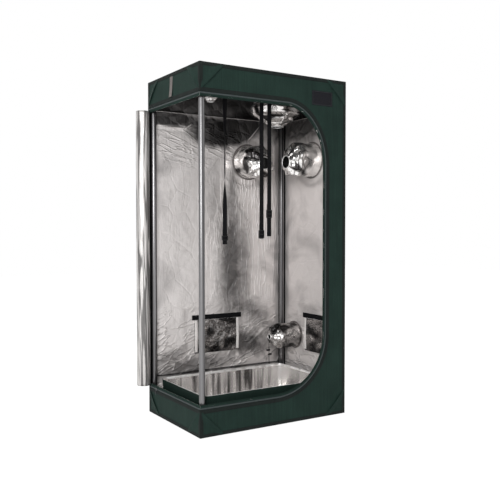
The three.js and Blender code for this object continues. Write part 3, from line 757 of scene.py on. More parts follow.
def add_piece(name: str, mesh: Mesh, material: Material, slot: Slot,
              body: str = "tent", replaces: Sequence[str] = (), thick: float = 0.0,
              inner: Material | None = None, crease: float = 42.0) -> Object:
    """Makes a finished piece of a mesh, on its body.

    Args:
        name: the piece's name.
        mesh: its shape in the tent's frame, freed here.
        material: its finish.
        slot: not used.
        body: the moving body that carries it.
        replaces: the plain solids that it stands for.
        thick: wall added behind the faces, or nothing.
        inner: another finish for the back of a wall.
        crease: angle in degrees past which an edge stays sharp.

    Returns:
        The new object.
    """
    data = bpy.data.meshes.new(name)
    mesh.to_mesh(data)
    mesh.free()
    piece = bpy.data.objects.new(name, data)
    bpy.context.collection.objects.link(piece)
    data.materials.append(material)
    data.shade_smooth()
    data.set_sharp_from_angle(angle=math.radians(crease))
    if thick:
        wall = piece.modifiers.new("cloth_wall", "SOLIDIFY")
        wall.thickness = thick
        wall.offset = -1
        if inner:
            data.materials.append(inner)
            wall.material_offset = 1
    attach(piece, body)
    if replaces:
        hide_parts(*replaces)
    log.info("%s: %d faces on %s", name, len(data.polygons), body)
    return piece


def corners(node: str) -> tuple[Vector, Vector]:
    """Lower and upper corner of a plain solid's box."""
    low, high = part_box(node)
    return Vector(low), Vector(high)


def flat_grid(low: tuple[float, float], high: tuple[float, float], cell: float) -> Mesh:
    """Flat grid between two corners in its own plane, with square cells of about a size.

    Args:
        low: lower left corner.
        high: upper right corner.
        cell: size of a cell.

    Returns:
        The mesh.
    """
    mesh = bmesh.new()
    span = (high[0] - low[0], high[1] - low[1])
    counts = [max(1, round(length / cell)) for length in span]
    bmesh.ops.create_grid(mesh, x_segments=counts[0], y_segments=counts[1], size=0.5)
    for vertex in mesh.verts:
        vertex.co.x = low[0] + (vertex.co.x + 0.5) * span[0]
        vertex.co.y = low[1] + (vertex.co.y + 0.5) * span[1]
    return mesh


def bent_grid(columns: int, rows: int, rule: Rule, closed: bool = False,
              outward: Vector | None = None) -> Mesh:
    """Sheet of cells bent by a rule of two shares, across and up.

    Args:
        columns: cells across.
        rows: cells up.
        rule: point of the sheet at two shares from 0 to 1.
        closed: whether the sheet meets itself, as a tube does.
        outward: the side that an open sheet's faces look to.

    Returns:
        The mesh, with its faces pointing out.
    """
    mesh = bmesh.new()
    bmesh.ops.create_grid(mesh, x_segments=columns, y_segments=rows, size=0.5)
    for vertex in mesh.verts:
        vertex.co = rule(vertex.co.x + 0.5, vertex.co.y + 0.5)
    if closed:
        bmesh.ops.remove_doubles(mesh, verts=mesh.verts, dist=WELD)
        bmesh.ops.recalc_face_normals(mesh, faces=mesh.faces)
    if outward:
        face_towards(mesh, outward)
    return mesh


def face_towards(mesh: Mesh, outward: Vector) -> None:
    """Turns a sheet's faces over if most of them look away from a direction.

    Args:
        mesh: the sheet.
        outward: direction that its faces should look in.
    """
    mesh.normal_update()
    total = sum((face.normal.dot(outward) * face.calc_area() for face in mesh.faces), 0.0)
    if total < 0:
        bmesh.ops.reverse_faces(mesh, faces=mesh.faces)


def cut_hole(mesh: Mesh, hole: Hole, cell: float) -> None:
    """Cuts an outline out of a flat grid, with the nearest vertices drawn onto the outline.

    Args:
        mesh: a flat grid in its own plane.
        hole: distance from the outline, less than zero inside it.
        cell: size of the grid's cells.
    """
    step = cell * 0.01
    for vertex in mesh.verts:
        across, up = vertex.co.x, vertex.co.y
        distance = hole(across, up)
        if -0.78 * cell < distance < 0.3 * cell:
            slope = Vector((hole(across + step, up) - distance, hole(across, up + step) - distance)) / step
            if slope.length > 0.1:
                slope /= slope.length_squared
                vertex.co.x -= slope.x * distance
                vertex.co.y -= slope.y * distance
    doomed = [face for face in mesh.faces if hole(*face.calc_center_median().xy) < 0]
    bmesh.ops.delete(mesh, geom=doomed, context="FACES")
    loose = [vertex for vertex in mesh.verts if not vertex.link_faces]
    bmesh.ops.delete(mesh, geom=loose, context="VERTS")


def round_hole(across: float, up: float, radius: float) -> Hole:
    """Outline of a round hole."""
    return lambda a, b: math.hypot(a - across, b - up) - radius


def box_hole(left: float, low: float, right: float, top: float) -> Hole:
    """Outline of a square-cornered hole."""
    return lambda a, b: max(left - a, a - right, low - b, b - top)


def lathe(profile: Pairs, centre: Vector, axis: Vector, steps: int = 48) -> Mesh:
    """Closed ring of revolution.

    Args:
        profile: pairs of radius and place along the axis, round the section.
        centre: where the axis starts.
        axis: direction of the axis.
        steps: facets round it.

    Returns:
        The mesh.
    """
    mesh = bmesh.new()
    side = axis.orthogonal().normalized()
    spots = [mesh.verts.new(centre + side * radius + axis * along) for radius, along in profile]
    edges = [mesh.edges.new(pair) for pair in zip(spots, spots[1:] + spots[:1])]
    bmesh.ops.spin(mesh, geom=spots + edges, cent=centre, axis=axis, angle=FULL_TURN, steps=steps,
                   use_merge=True, use_duplicate=False)
    bmesh.ops.remove_doubles(mesh, verts=mesh.verts, dist=WELD)
    bmesh.ops.recalc_face_normals(mesh, faces=mesh.faces)
    return mesh


def rounded_box(low: Vector, high: Vector, radius: float, segments: int = 2) -> Mesh:
    """Box between two corners with rounded edges.

    Args:
        low: lower corner.
        high: upper corner.
        radius: radius of the edges.
        segments: facets across an edge.

    Returns:
        The mesh.
    """
    mesh = bmesh.new()
    bmesh.ops.create_cube(mesh, size=1.0)
    for vertex in mesh.verts:
        vertex.co = Vector(mixed(low[i], high[i], vertex.co[i] + 0.5) for i in range(3))
    bmesh.ops.bevel(mesh, geom=mesh.edges, offset=radius, segments=segments, profile=0.5,
                    affect="EDGES", material=-1)
    return mesh


def merged(*meshes: Mesh) -> Mesh:
    """One mesh that holds several, which are freed.

    Args:
        meshes: the meshes to join.

    Returns:
        The mesh.
    """
    whole = bmesh.new()
    for mesh in meshes:
        data = bpy.data.meshes.new("part")
        mesh.to_mesh(data)
        mesh.free()
        whole.from_mesh(data)
        bpy.data.meshes.remove(data)
    return whole


def crumple(spot: Vector, scale: float, octaves: int = 3) -> float:
    """Height of sharp random creases at a point, about 0 to 1.

    Args:
        spot: the point.
        scale: creases in a metre.
        octaves: count of finer layers.

    Returns:
        The height.
    """
    total = 0.0
    weight = 1.0
    for _ in range(octaves):
        total += weight * (1 - min(1.0, abs(noise.noise(spot * scale)) * 2.6))
        scale *= 2.1
        weight *= 0.48
    return total / 1.9


def wander(spot: Vector, scale: float) -> Vector:
    """Smooth random shift at a point, about 1 long at most."""
    return noise.noise_vector(spot * scale)


@dataclass(frozen=True)
class Crease:
    """A raised fold along a line on a wall, in the wall's own across and up."""

    start: tuple[float, float]
    end: tuple[float, float]
    rise: float
    half: float

    def height(self, across: float, up: float) -> float:
        """Height of the fold at a point of the wall.

        Args:
            across: place across.
            up: place up.

        Returns:
            The height.
        """
        line = Vector(self.end) - Vector(self.start)
        away = Vector((across, up)) - Vector(self.start)
        share = away.dot(line) / line.length_squared
        side = abs(line.x * away.y - line.y * away.x) / line.length
        ends = smooth(share, -0.05, 0.1) * smooth(share, 1.05, 0.9)
        return self.rise * ends * max(0.0, 1 - side / self.half) ** 1.5


@dataclass
class Wall(Assembly):
    """One face of the tent's shell, with an outer cloth and a crinkled lining.

    Places on it are given across, along its own direction, and up.
    """

    name: str
    origin: Vector
    across: Vector
    up: Vector
    outward: Vector
    low: tuple[float, float]
    high: tuple[float, float]
    replaces: str
    holes: list[Hole] = field(default_factory=list)
    creases: list[Crease] = field(default_factory=list)
    flat_spots: list[Hole] = field(default_factory=list)
    outer_cell: float = 0.012
    lining_cell: float = 0.0072
    edge_margin: float = 0.08
    belly: float = 0.007
    ridge: float = 0.0035

    def spot(self, across: float, up: float, out: float) -> Vector:
        """Point of the wall at a distance outside it."""
        return self.origin + self.across * across + self.up * up + self.outward * out

    def freedom(self, across: float, up: float) -> float:
        """How free the lining is to move here, from 0 at what holds it to 1.

        Args:
            across: place across.
            up: place up.

        Returns:
            The share.
        """
        edge = min(across - self.low[0], self.high[0] - across, up - self.low[1], self.high[1] - up)
        free = smooth(edge, self.edge_margin * 0.4, self.edge_margin)
        for held in (*self.holes, *self.flat_spots):
            free *= smooth(held(across, up), 0.012, 0.055)
        return free

    def relief(self, across: float, up: float) -> float:
        """How far the lining bulges into the tent at a point.

        Args:
            across: place across.
            up: place up.

        Returns:
            The distance.
        """
        here = self.spot(across, up, 0)
        pushed = here + wander(here, 4) * 0.06
        broad = 0.5 + 0.5 * noise.noise(pushed * 3.1)
        sharp = crumple(pushed, 4.5)
        fine = crumple(here + wander(here, 11) * 0.02, 19, 2)
        rise = self.belly * broad + self.ridge * sharp + self.ridge * 0.3 * fine
        rise += sum(crease.height(across, up) for crease in self.creases)
        return rise * self.freedom(across, up)

    def add_outer(self) -> Object:
        """Adds the outer cloth.

        Returns:
            The sheet.
        """
        mesh = flat_grid(self.low, self.high, self.outer_cell)
        for hole in self.holes:
            cut_hole(mesh, hole, self.outer_cell)
        for vertex in mesh.verts:
            across, up = vertex.co.xy
            here = self.spot(across, up, 0)
            swell = 0.0003 + 0.0004 * noise.noise(here * 5) + 0.0002 * noise.noise(here * 17)
            vertex.co = self.spot(across, up, -swell * self.freedom(across, up))
        face_towards(mesh, self.outward)
        return add_piece(f"{self.name}_outer_cloth", mesh, self.looks.green, Slot.CLOTH,
                         replaces=(self.replaces,), thick=0.0006)

    def add_lining(self) -> Object:
        """Adds the foil lining inside the outer cloth.

        Returns:
            The sheet.
        """
        mesh = flat_grid(self.low, self.high, self.lining_cell)
        for hole in self.holes:
            cut_hole(mesh, hole, self.lining_cell)
        for vertex in mesh.verts:
            across, up = vertex.co.xy
            vertex.co = self.spot(across, up, -CLOTH + 0.0003 - self.relief(across, up))
        face_towards(mesh, -self.outward)
        return add_piece(f"{self.name}_lining", mesh, self.looks.lining, Slot.LINING,
                         replaces=(self.replaces,), thick=0.0004)

    def build(self) -> None:
        for piece in (self.add_outer(), self.add_lining()):
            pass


@dataclass
class Doorway(Assembly):
    """Line of the zip round the doorway, on the front and the left side unrolled into one plane.

    Across is X on the front, and past the front left edge it runs on along the left side to the back.
    """

    top: float = 1.67
    low: float = 0.143
    right: float = 0.3135
    top_corner: tuple[float, float] = (0.256, 0.318)
    low_corner: tuple[float, float] = (0.312, 0.301)
    corner_radius: float = 0.004
    lip: float = 0.018
    tooth_pitch: float = 0.0024
    tooth: tuple[float, float, float] = (0.0014, 0.0040, 0.0011)
    back: float = field(default=-(HALF_WIDTH + HALF_DEPTH * 2 - 0.009))

    def __post_init__(self) -> None:
        """Measures the line's stretches."""
        self.stretches = [
            self.right - self.top_corner[0] - self.back,
            QUARTER * sum(self.top_corner) / 2,
            self.top - self.top_corner[1] - self.low - self.low_corner[1],
            QUARTER * sum(self.low_corner) / 2,
            self.right - self.low_corner[0] - self.back,
        ]
        self.length = sum(self.stretches)

    def line(self, share: float, inset: float) -> tuple[float, float]:
        """Place across and up on the line, moved in towards the doorway by an inset.

        Args:
            share: share of the line's length.
            inset: distance inside the line.

        Returns:
            The place.
        """
        run = share * self.length
        stretch = 0
        while stretch < 4 and run > self.stretches[stretch]:
            run -= self.stretches[stretch]
            stretch += 1
        part = run / self.stretches[stretch]
        top_middle = (self.right - self.top_corner[0], self.top - self.top_corner[1])
        low_middle = (self.right - self.low_corner[0], self.low + self.low_corner[1])
        if stretch == 0:
            return (mixed(self.back, top_middle[0], part), self.top - inset)
        if stretch == 1:
            angle = QUARTER * (1 - part)
            return (top_middle[0] + (self.top_corner[0] - inset) * math.cos(angle),
                    top_middle[1] + (self.top_corner[1] - inset) * math.sin(angle))
        if stretch == 2:
            return (self.right - inset, mixed(top_middle[1], low_middle[1], part))
        if stretch == 3:
            angle = -QUARTER * part
            return (low_middle[0] + (self.low_corner[0] - inset) * math.cos(angle),
                    low_middle[1] + (self.low_corner[1] - inset) * math.sin(angle))
        return (mixed(low_middle[0], self.back, part), self.low + inset)

    def wrap(self, across: float, up: float, out: float) -> Vector:
        """Point in the tent's frame of a place in the unrolled plane, at a distance outside it.

        Args:
            across: place across.
            up: place up.
            out: distance outside the cloth.

        Returns:
            The point.
        """
        turn = across + HALF_WIDTH
        radius = self.corner_radius
        arc = radius * QUARTER
        if turn > arc / 2:
            return Vector((-HALF_WIDTH + radius + turn - arc / 2, -HALF_DEPTH - out, up))
        if turn < -arc / 2:
            return Vector((-HALF_WIDTH - out, -HALF_DEPTH + radius - turn - arc / 2, up))
        angle = QUARTER * (turn / arc + 0.5)
        middle = Vector((-HALF_WIDTH + radius, -HALF_DEPTH + radius, up))
        return middle - Vector((math.cos(angle), math.sin(angle), 0)) * (radius + out)

    def hole(self, inset: float) -> Hole:
        """Outline of the opening on the front, inside the line by an inset.

        Args:
            inset: distance inside the line.

        Returns:
            The outline.
        """
        def distance(across: float, up: float) -> float:
            """Distance from the opening's edge, less than zero inside it.

            Args:
                across: place across.
                up: place up.

            Returns:
                The distance.
            """
            right = self.right - inset
            top = self.top - inset
            low = self.low + inset
            for corner, edge, sign in ((self.top_corner, top, 1), (self.low_corner, low, -1)):
                span = (corner[0] - inset, corner[1] - inset)
                middle = (right - span[0], edge - sign * span[1])
                past = (across - middle[0], (up - middle[1]) * sign)
                if past[0] > 0 and past[1] > 0:
                    ratio = math.hypot(past[0] / span[0], past[1] / span[1])
                    slope = math.hypot(past[0] / span[0] ** 2, past[1] / span[1] ** 2)
                    return (ratio - 1) * ratio / max(slope, WELD)
            return max(across - right, up - top, low - up)
        return distance

    def ribbon(self, name: str, inset: tuple[float, float], profile: Pairs,
               material: Material, slot: Slot, replaces: Sequence[str] = (),
               thick: float = 0.0006, cells: int = 620, ripple: float = 0.0) -> Object:
        """Adds a strip that follows the whole line.

        Args:
            name: the piece's name.
            inset: how far in from the line its two edges lie.
            profile: pairs of share across the strip and height above the cloth.
            material: its finish.
            slot: the record's finish.
            replaces: the plain solids that it stands for.
            thick: its thickness.
            cells: cells along it.
            ripple: how much its height wanders.

        Returns:
            The strip.
        """
        columns = (len(profile) - 1) * 3

        def rule(along: float, over: float) -> Vector:
            """Point of the strip.

            Args:
                along: share along.
                over: share across.

            Returns:
                The point.
            """
            across, up = self.line(along, mixed(*inset, over))
            lift = table_value(profile, over)
            spot = Vector((across, up, 0))
            lift += ripple * noise.noise(spot * 14) * math.sin(math.pi * over)
            return self.wrap(across, up, lift)

        mesh = bent_grid(cells, columns, rule)
        mesh.normal_update()
        middle = Vector((0, 0, HEIGHT / 2))
        total = sum(face.normal.dot(face.calc_center_median() - middle) * face.calc_area()
                    for face in mesh.faces)
        if total < 0:
            bmesh.ops.reverse_faces(mesh, faces=mesh.faces)
        return add_piece(name, mesh, material, slot, replaces=replaces, thick=thick)

    def build(self) -> None:
        """Adds the bias band, the zip's tape and teeth and the lip."""
        band = [(0.0, 0.0004), (0.08, 0.0018), (0.5, 0.0024), (0.92, 0.0020), (1.0, 0.0006)]
        self.ribbon("doorway_bias_band", (-0.025, -0.0045), band, self.looks.trim, Slot.CLOTH, ripple=0.001)
        tape = [(0.0, 0.0006), (0.3, 0.0010), (0.5, 0.0019), (0.7, 0.0010), (1.0, 0.0006)]
        self.ribbon("zip_tape", (-0.0045, 0.0045), tape, self.looks.zip_tape, Slot.ZIP, ("zip_track",))
        lip = [(0.0, 0.0004), (0.5, -0.0006), (0.88, -0.0008), (1.0, -0.0016)]
        self.ribbon("doorway_lip", (0.0045, self.lip), lip, self.looks.lip, Slot.CLOTH, ripple=0.001)
        self.add_teeth()

    def add_teeth(self) -> None:
        """Adds the zip's coil as a row of small teeth along the tape."""
        count = int(self.length / self.tooth_pitch)
        mesh = bmesh.new()
        for tooth in range(count):
            share = (tooth + 0.5) / count
            outer = self.wrap(*self.line(share, -0.002), 0.0021)
            inner = self.wrap(*self.line(share, 0.002), 0.0021)
            middle = (outer + inner) / 2
            across = (inner - outer).normalized()
            out = self.wrap(*self.line(share, 0.0), 0.01) - self.wrap(*self.line(share, 0.0), 0.0)
            out.normalize()
            along = out.cross(across)
            turn = Matrix((along, across, out)).transposed().to_4x4()
            place = Matrix.Translation(middle) @ turn @ Matrix.Diagonal((*self.tooth, 1.0))
            bmesh.ops.create_cube(mesh, size=1.0, matrix=place)
        add_piece("zip_teeth", mesh, self.looks.zip_teeth, Slot.ZIP)


@dataclass
class Shell(Assembly):
    """The tent's cloth shell: four walls, the roof, the floor and two bands on the left."""

    doorway: Doorway
    hem: float = 0.013

    def walls(self) -> list[Wall]:
        """The walls, with their holes and creases.

        Returns:
            The walls.
        """
        back_port = round_hole(BACK_DUCT, DUCT_HEIGHT, DUCT_RADIUS)
        back_vent = box_hole(BACK_VENT - VENT_HALF, VENT_LOW, BACK_VENT + VENT_HALF, VENT_TOP)
        right_port = round_hole(0.0, DUCT_HEIGHT, DUCT_RADIUS)
        intake = round_hole(*INTAKE, INTAKE_RADIUS)
        side_vent = box_hole(SIDE_VENT - VENT_HALF, VENT_LOW, SIDE_VENT + VENT_HALF, VENT_TOP)
        held = DUCT_RADIUS + self.hem
        seam = Crease((-0.46, SEAM), (0.46, SEAM), 0.004, 0.006)
        low, high = (-HALF_WIDTH, 0.002), (HALF_WIDTH, HEIGHT - 0.0005)
        front = Wall(self.looks, "front", Vector((0, -HALF_DEPTH, 0)), X, Z, -Y, low, high, "front_panel",
                     [self.doorway.hole(0.011)], belly=0.004, ridge=0.002)
        back = Wall(
            self.looks, "back", Vector((0, HALF_DEPTH, 0)), X, Z, Y, low, high, "back_panel",
            [back_port, back_vent],
            [
                seam,
                Crease((-0.401, 1.591), (-0.236, 1.583), 0.010, 0.012),
                Crease((-0.236, 1.583), (-0.188, 1.612), 0.009, 0.012),
                Crease((0.276, 1.641), (0.174, 1.521), 0.009, 0.008),
                Crease((-0.42, 0.33), (-0.2, 0.25), 0.006, 0.012),
                Crease((-0.40, 0.29), (-0.17, 0.23), 0.006, 0.010),
                Crease((-0.36, 0.37), (-0.16, 0.30), 0.005, 0.010),
                Crease((0.02, 0.26), (0.24, 0.38), 0.006, 0.010),
                Crease((0.12, 0.25), (0.32, 0.42), 0.007, 0.014),
            ],
            [box_hole(-0.195, 0.29, 0.155, 0.52), round_hole(BACK_DUCT, DUCT_HEIGHT, held)])
        right = Wall(
            self.looks, "right", Vector((HALF_WIDTH, 0, 0)), Y, Z, X, (-HALF_DEPTH + 0.0018, 0.002),
            (HALF_DEPTH - 0.0018, HEIGHT - 0.0005), "right_panel", [right_port, intake, side_vent],
            [seam, Crease((0.21, 1.50), (-0.03, 1.60), 0.006, 0.014)],
            [box_hole(-0.259, 0.29, 0.091, 0.52), round_hole(0.0, DUCT_HEIGHT, held),
             round_hole(*INTAKE, INTAKE_RADIUS + self.hem)])
        roof = Wall(self.looks, "roof", Vector((0, 0, HEIGHT)), X, Y, Z, (-HALF_WIDTH, -HALF_DEPTH),
                    (HALF_WIDTH, HALF_DEPTH), "roof_panel",
                    [round_hole(ROOF_DUCT, 0, ROOF_DUCT_RADIUS), round_hole(CABLE_PORT, 0, CABLE_RADIUS)],
                    belly=0.004, ridge=0.002)
        floor = Wall(self.looks, "floor", Vector((0, 0, 0)), X, Y, -Z, (-HALF_WIDTH, -HALF_DEPTH),
                     (HALF_WIDTH, HALF_DEPTH), "floor_panel", belly=0.0, ridge=0.0)
        edge = HALF_DEPTH - 0.0018
        upper = Wall(self.looks, "left_upper", Vector((-HALF_WIDTH, 0, 0)), Y, Z, -X,
                     (-edge, self.doorway.top - 0.017), (edge, HEIGHT - 0.0005), "left_upper_band",
                     belly=0.003, ridge=0.0015)
        lower = Wall(self.looks, "left_lower", Vector((-HALF_WIDTH, 0, 0)), Y, Z, -X,
                     (-edge, 0.002), (edge, self.doorway.low + 0.017), "left_lower_band",
                     belly=0.003, ridge=0.0015)
        return [front, back, right, roof, floor, upper, lower]

    def build(self) -> None:
        """Adds every wall."""
        for wall in self.walls():
            wall.build()


@dataclass
class Bindings(Assembly):
    """Dark bound seams along the shell's edges, and the patches over its corners."""

    doorway: Doorway
    reach: float = 0.018
    lift: float = 0.0016
    patch_leg: float = 0.1385
    gape: float = 0.0062

    def strip(self, start: Vector, end: Vector, first: Vector, second: Vector) -> Mesh:
        """Seam binding folded over an edge.

        Args:
            start: one end of the edge.
            end: its other end.
            first: outward direction of one face.
            second: outward direction of the other face.

        Returns:
            The folded strip.
        """
        rows = max(4, round((end - start).length / 0.012))

        def rule(along: float, round_edge: float) -> Vector:
            """Point of the strip.

            Args:
                along: share along.
                round_edge: share round the edge.

            Returns:
                The point.
            """
            spot = start.lerp(end, along)
            side = (round_edge - 0.5) * 2
            run = abs(side) * self.reach
            face, other = (first, second) if side < 0 else (second, first)
            ease = smooth(abs(side), 0.0, 0.14)
            edge = smooth(abs(side), 1.0, 0.86)
            lift = self.lift * (0.35 + 0.65 * edge) + 0.0005 * noise.noise(spot * 31 + face * 3)
            corner = (first + second).normalized() * self.lift * (1 - ease)
            return spot - other * run * ease + face * lift * ease + corner

        return bent_grid(rows, 16, rule, outward=first + second)

    def patch(self, corner: Vector, first: Vector, second: Vector, out: Vector) -> Mesh:
        """Triangular patch over one face's corner, with its long edge standing proud.

        Args:
            corner: the shell's corner.
            first: direction along one edge, away from the corner.
            second: direction along the other edge.
            out: the face's outward direction.

        Returns:
            The patch.
        """
        def rule(along: float, over: float) -> Vector:
            """Point of the patch, from the corner to its long edge.

            Args:
                along: share along.
                over: share across.

            Returns:
                The point.
            """
            reach = self.patch_leg * max(over, 0.03)
            spot = corner + first * reach * (1 - along) + second * reach * along
            gape = math.sin(math.pi * along) * smooth(over, 0.6, 1.0)
            lift = 0.0008 + self.gape * gape + 0.0003 * noise.noise(spot * 40)
            return spot + out * lift

        return bent_grid(20, 20, rule, outward=out)

    def build(self) -> None:
        """Adds the bindings and the corner patches."""
        def at(x: float, y: float, z: float) -> Vector:
            """Corner of the shell by signs across and along, and a height."""
            return Vector((x * HALF_WIDTH, y * HALF_DEPTH, z))

        for level, z, out in (("roof", HEIGHT, Z), ("floor", 0.0, -Z)):
            rings = [
                self.strip(at(-1, -1, z), at(1, -1, z), -Y, out),
                self.strip(at(-1, 1, z), at(1, 1, z), Y, out),
                self.strip(at(-1, -1, z), at(-1, 1, z), -X, out),
                self.strip(at(1, -1, z), at(1, 1, z), X, out),
            ]
            binding = merged(*rings)
            for vertex in binding.verts:
                vertex.co.z = max(vertex.co.z, 0.0)
            add_piece(f"{level}_seam_binding", binding, self.looks.trim, Slot.CLOTH, thick=0.0008)
        edges = {
            "back_right": [(1, 1, 0.0, HEIGHT)],
            "back_left": [(-1, 1, 0.0, HEIGHT)],
            "front_right": [(1, -1, 0.0, HEIGHT)],
            "front_left": [(-1, -1, 0.0, self.doorway.low - 0.004),
                           (-1, -1, self.doorway.top + 0.004, HEIGHT)],
        }
        for name, runs in edges.items():
            strips = [self.strip(at(x, y, low), at(x, y, high), X * x, Y * y) for x, y, low, high in runs]
            add_piece(f"{name}_seam_binding", merged(*strips), self.looks.trim, Slot.CLOTH, thick=0.0008)
        for level, z, up in (("top", HEIGHT, -Z), ("bottom", 0.0, Z)):
            for end, y in (("front", -1), ("back", 1)):
                for side, x in (("left", -1), ("right", 1)):
                    corner = at(x, y, z)
                    faces = [
                        self.patch(corner, -X * x, up, Y * y),
                        self.patch(corner, -Y * y, up, X * x),
                    ]
                    if level == "top":
                        faces.append(self.patch(corner, -X * x, -Y * y, Z))
                    add_piece(f"corner_patch_{level}_{end}_{side}", merged(*faces), self.looks.green,
                              Slot.CLOTH, thick=0.0007)


@dataclass
class TubeFrame(Assembly):
    """Steel posts and rails, and the moulded connectors that join them."""

    radius: float = TUBE_RADIUS
    wall: float = 0.0012
    lip: float = 0.0012
    hub_half: float = 0.02

    def tube(self, node: str) -> None:
        """Adds one tube, with its ends turned in, in place of its plain solid.

        Args:
            node: the plain solid that it stands for.
        """
        low, high = corners(node)
        size = high - low
        long = max(range(3), key=lambda i: size[i])
        axis = (X, Y, Z)[long]
        start = (low + high) / 2 - axis * size[long] / 2
        length = size[long]
        outer, inner, lip = self.radius, self.radius - self.wall, self.lip
        profile = [(inner, 0), (outer - lip, 0), (outer, lip * 2), (outer, length - lip * 2),
                   (outer - lip, length), (inner, length)]
        mesh = lathe(profile, start, axis)
        material = self.looks.steel if long == 2 else self.looks.steel_across
        add_piece(node + "_tube", mesh, material, Slot.STEEL, replaces=(node,))

    def connector(self, node: str) -> None:
        """Adds one three-way connector with its collars and stubs.

        Args:
            node: the plain solid that it stands for.
        """
        low, high = corners(node)
        half = Vector((self.hub_half,) * 3)
        centre = Vector((math.copysign(HALF_WIDTH - TUBE_INSET, low.x + high.x),
                         math.copysign(HALF_DEPTH - TUBE_INSET, low.y + high.y),
                         TUBE_INSET if high.z < HEIGHT / 2 else HEIGHT - TUBE_INSET))
        parts = [rounded_box(centre - half, centre + half, 0.005, 4)]
        for i, axis in enumerate((X, Y, Z)):
            sign = 1 if high[i] - centre[i] > centre[i] - low[i] else -1
            reach = (high[i] - centre[i]) if sign > 0 else (centre[i] - low[i])
            stub = self.radius - self.wall - GAP
            profile = [(0.0, 0.01), (stub, 0.01), (stub, reach - 0.003), (stub - 0.002, reach), (0.0, reach)]
            parts.append(lathe(profile, centre, axis * sign, 32))
        add_piece(node + "_moulding", merged(*parts), self.looks.plastic, Slot.PLASTIC, replaces=(node,))

    def build(self) -> None:
        """Adds every tube and connector."""
        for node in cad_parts:
            if node.startswith("post_") or "_rail_" in node:
                self.tube(node)
            if node.startswith("connector_"):
                self.connector(node)


@dataclass
class DoorRoll(Assembly):
    """The door rolled up outside the back left edge, silver side out, and the strip that carries it."""

    turns: int = 8
    core: float = 0.014
    radius: float = 0.0386
    loose_edge: float = 5.0
    low: float = 0.1555
    high: float = 1.6575
    height: float = 1.502

    def build(self) -> None:
        """Adds the spiral sheet and its carrying strip."""
        box_low, box_high = corners("door_roll")
        centre = Vector((box_low.x + 0.0415, HALF_DEPTH - 0.0105, 0))

        def rule(along: float, up: float) -> Vector:
            """Point of the rolled sheet, from its core outwards.

            Args:
                along: share along.
                up: share up.

            Returns:
                The point.
            """
            height = mixed(self.low, self.high, up)
            angle = along * self.turns * FULL_TURN + self.loose_edge
            radius = mixed(self.core, self.radius, along)
            long = Vector((math.cos(angle) * 1.9, math.sin(angle) * 1.9, height * 0.8))
            ridge = (1 - min(1.0, abs(noise.noise(long)) * 5)) ** 2
            wave = noise.noise(long * 0.7 + Vector((4, 0, 0)))
            here = Vector((math.cos(angle) * 0.04, math.sin(angle) * 0.04, height))
            crinkle = crumple(here, 30, 2) * smooth(height, 0.72, 0.35)
            radius += (0.0013 * ridge + 0.0012 * wave + 0.0013 * crinkle) * radius / self.radius
            return centre + Vector((math.cos(angle), math.sin(angle), 0)) * radius + Z * height

        mesh = bent_grid(self.turns * 40, 120, rule)
        mesh.normal_update()
        outward = sum((face.normal.xy.dot((face.calc_center_median() - centre).xy) for face in mesh.faces))
        if outward < 0:
            bmesh.ops.reverse_faces(mesh, faces=mesh.faces)
        roll = add_piece("rolled_door", mesh, self.looks.roll, Slot.LINING, replaces=("door_roll",),
                         thick=0.0009, inner=self.looks.lip)

        def strip_rule(along: float, up: float) -> Vector:
            """Point of the strip that carries the roll.

            Args:
                along: share from the roll to the shell.
                up: share up.

            Returns:
                The point.
            """
            height = mixed(self.low, self.high, up)
            x = mixed(centre.x + 0.012, -HALF_WIDTH - 0.0004, along)
            sway = 0.002 * noise.noise(Vector((0, 3, height * 9))) * math.sin(math.pi * along)
            return Vector((x, HALF_DEPTH - 0.0012 + sway, height))

        strip = bent_grid(6, 120, strip_rule, outward=-Y)
        add_piece("roll_carrying_strip", strip, self.looks.lip, Slot.CLOTH, thick=0.0009)


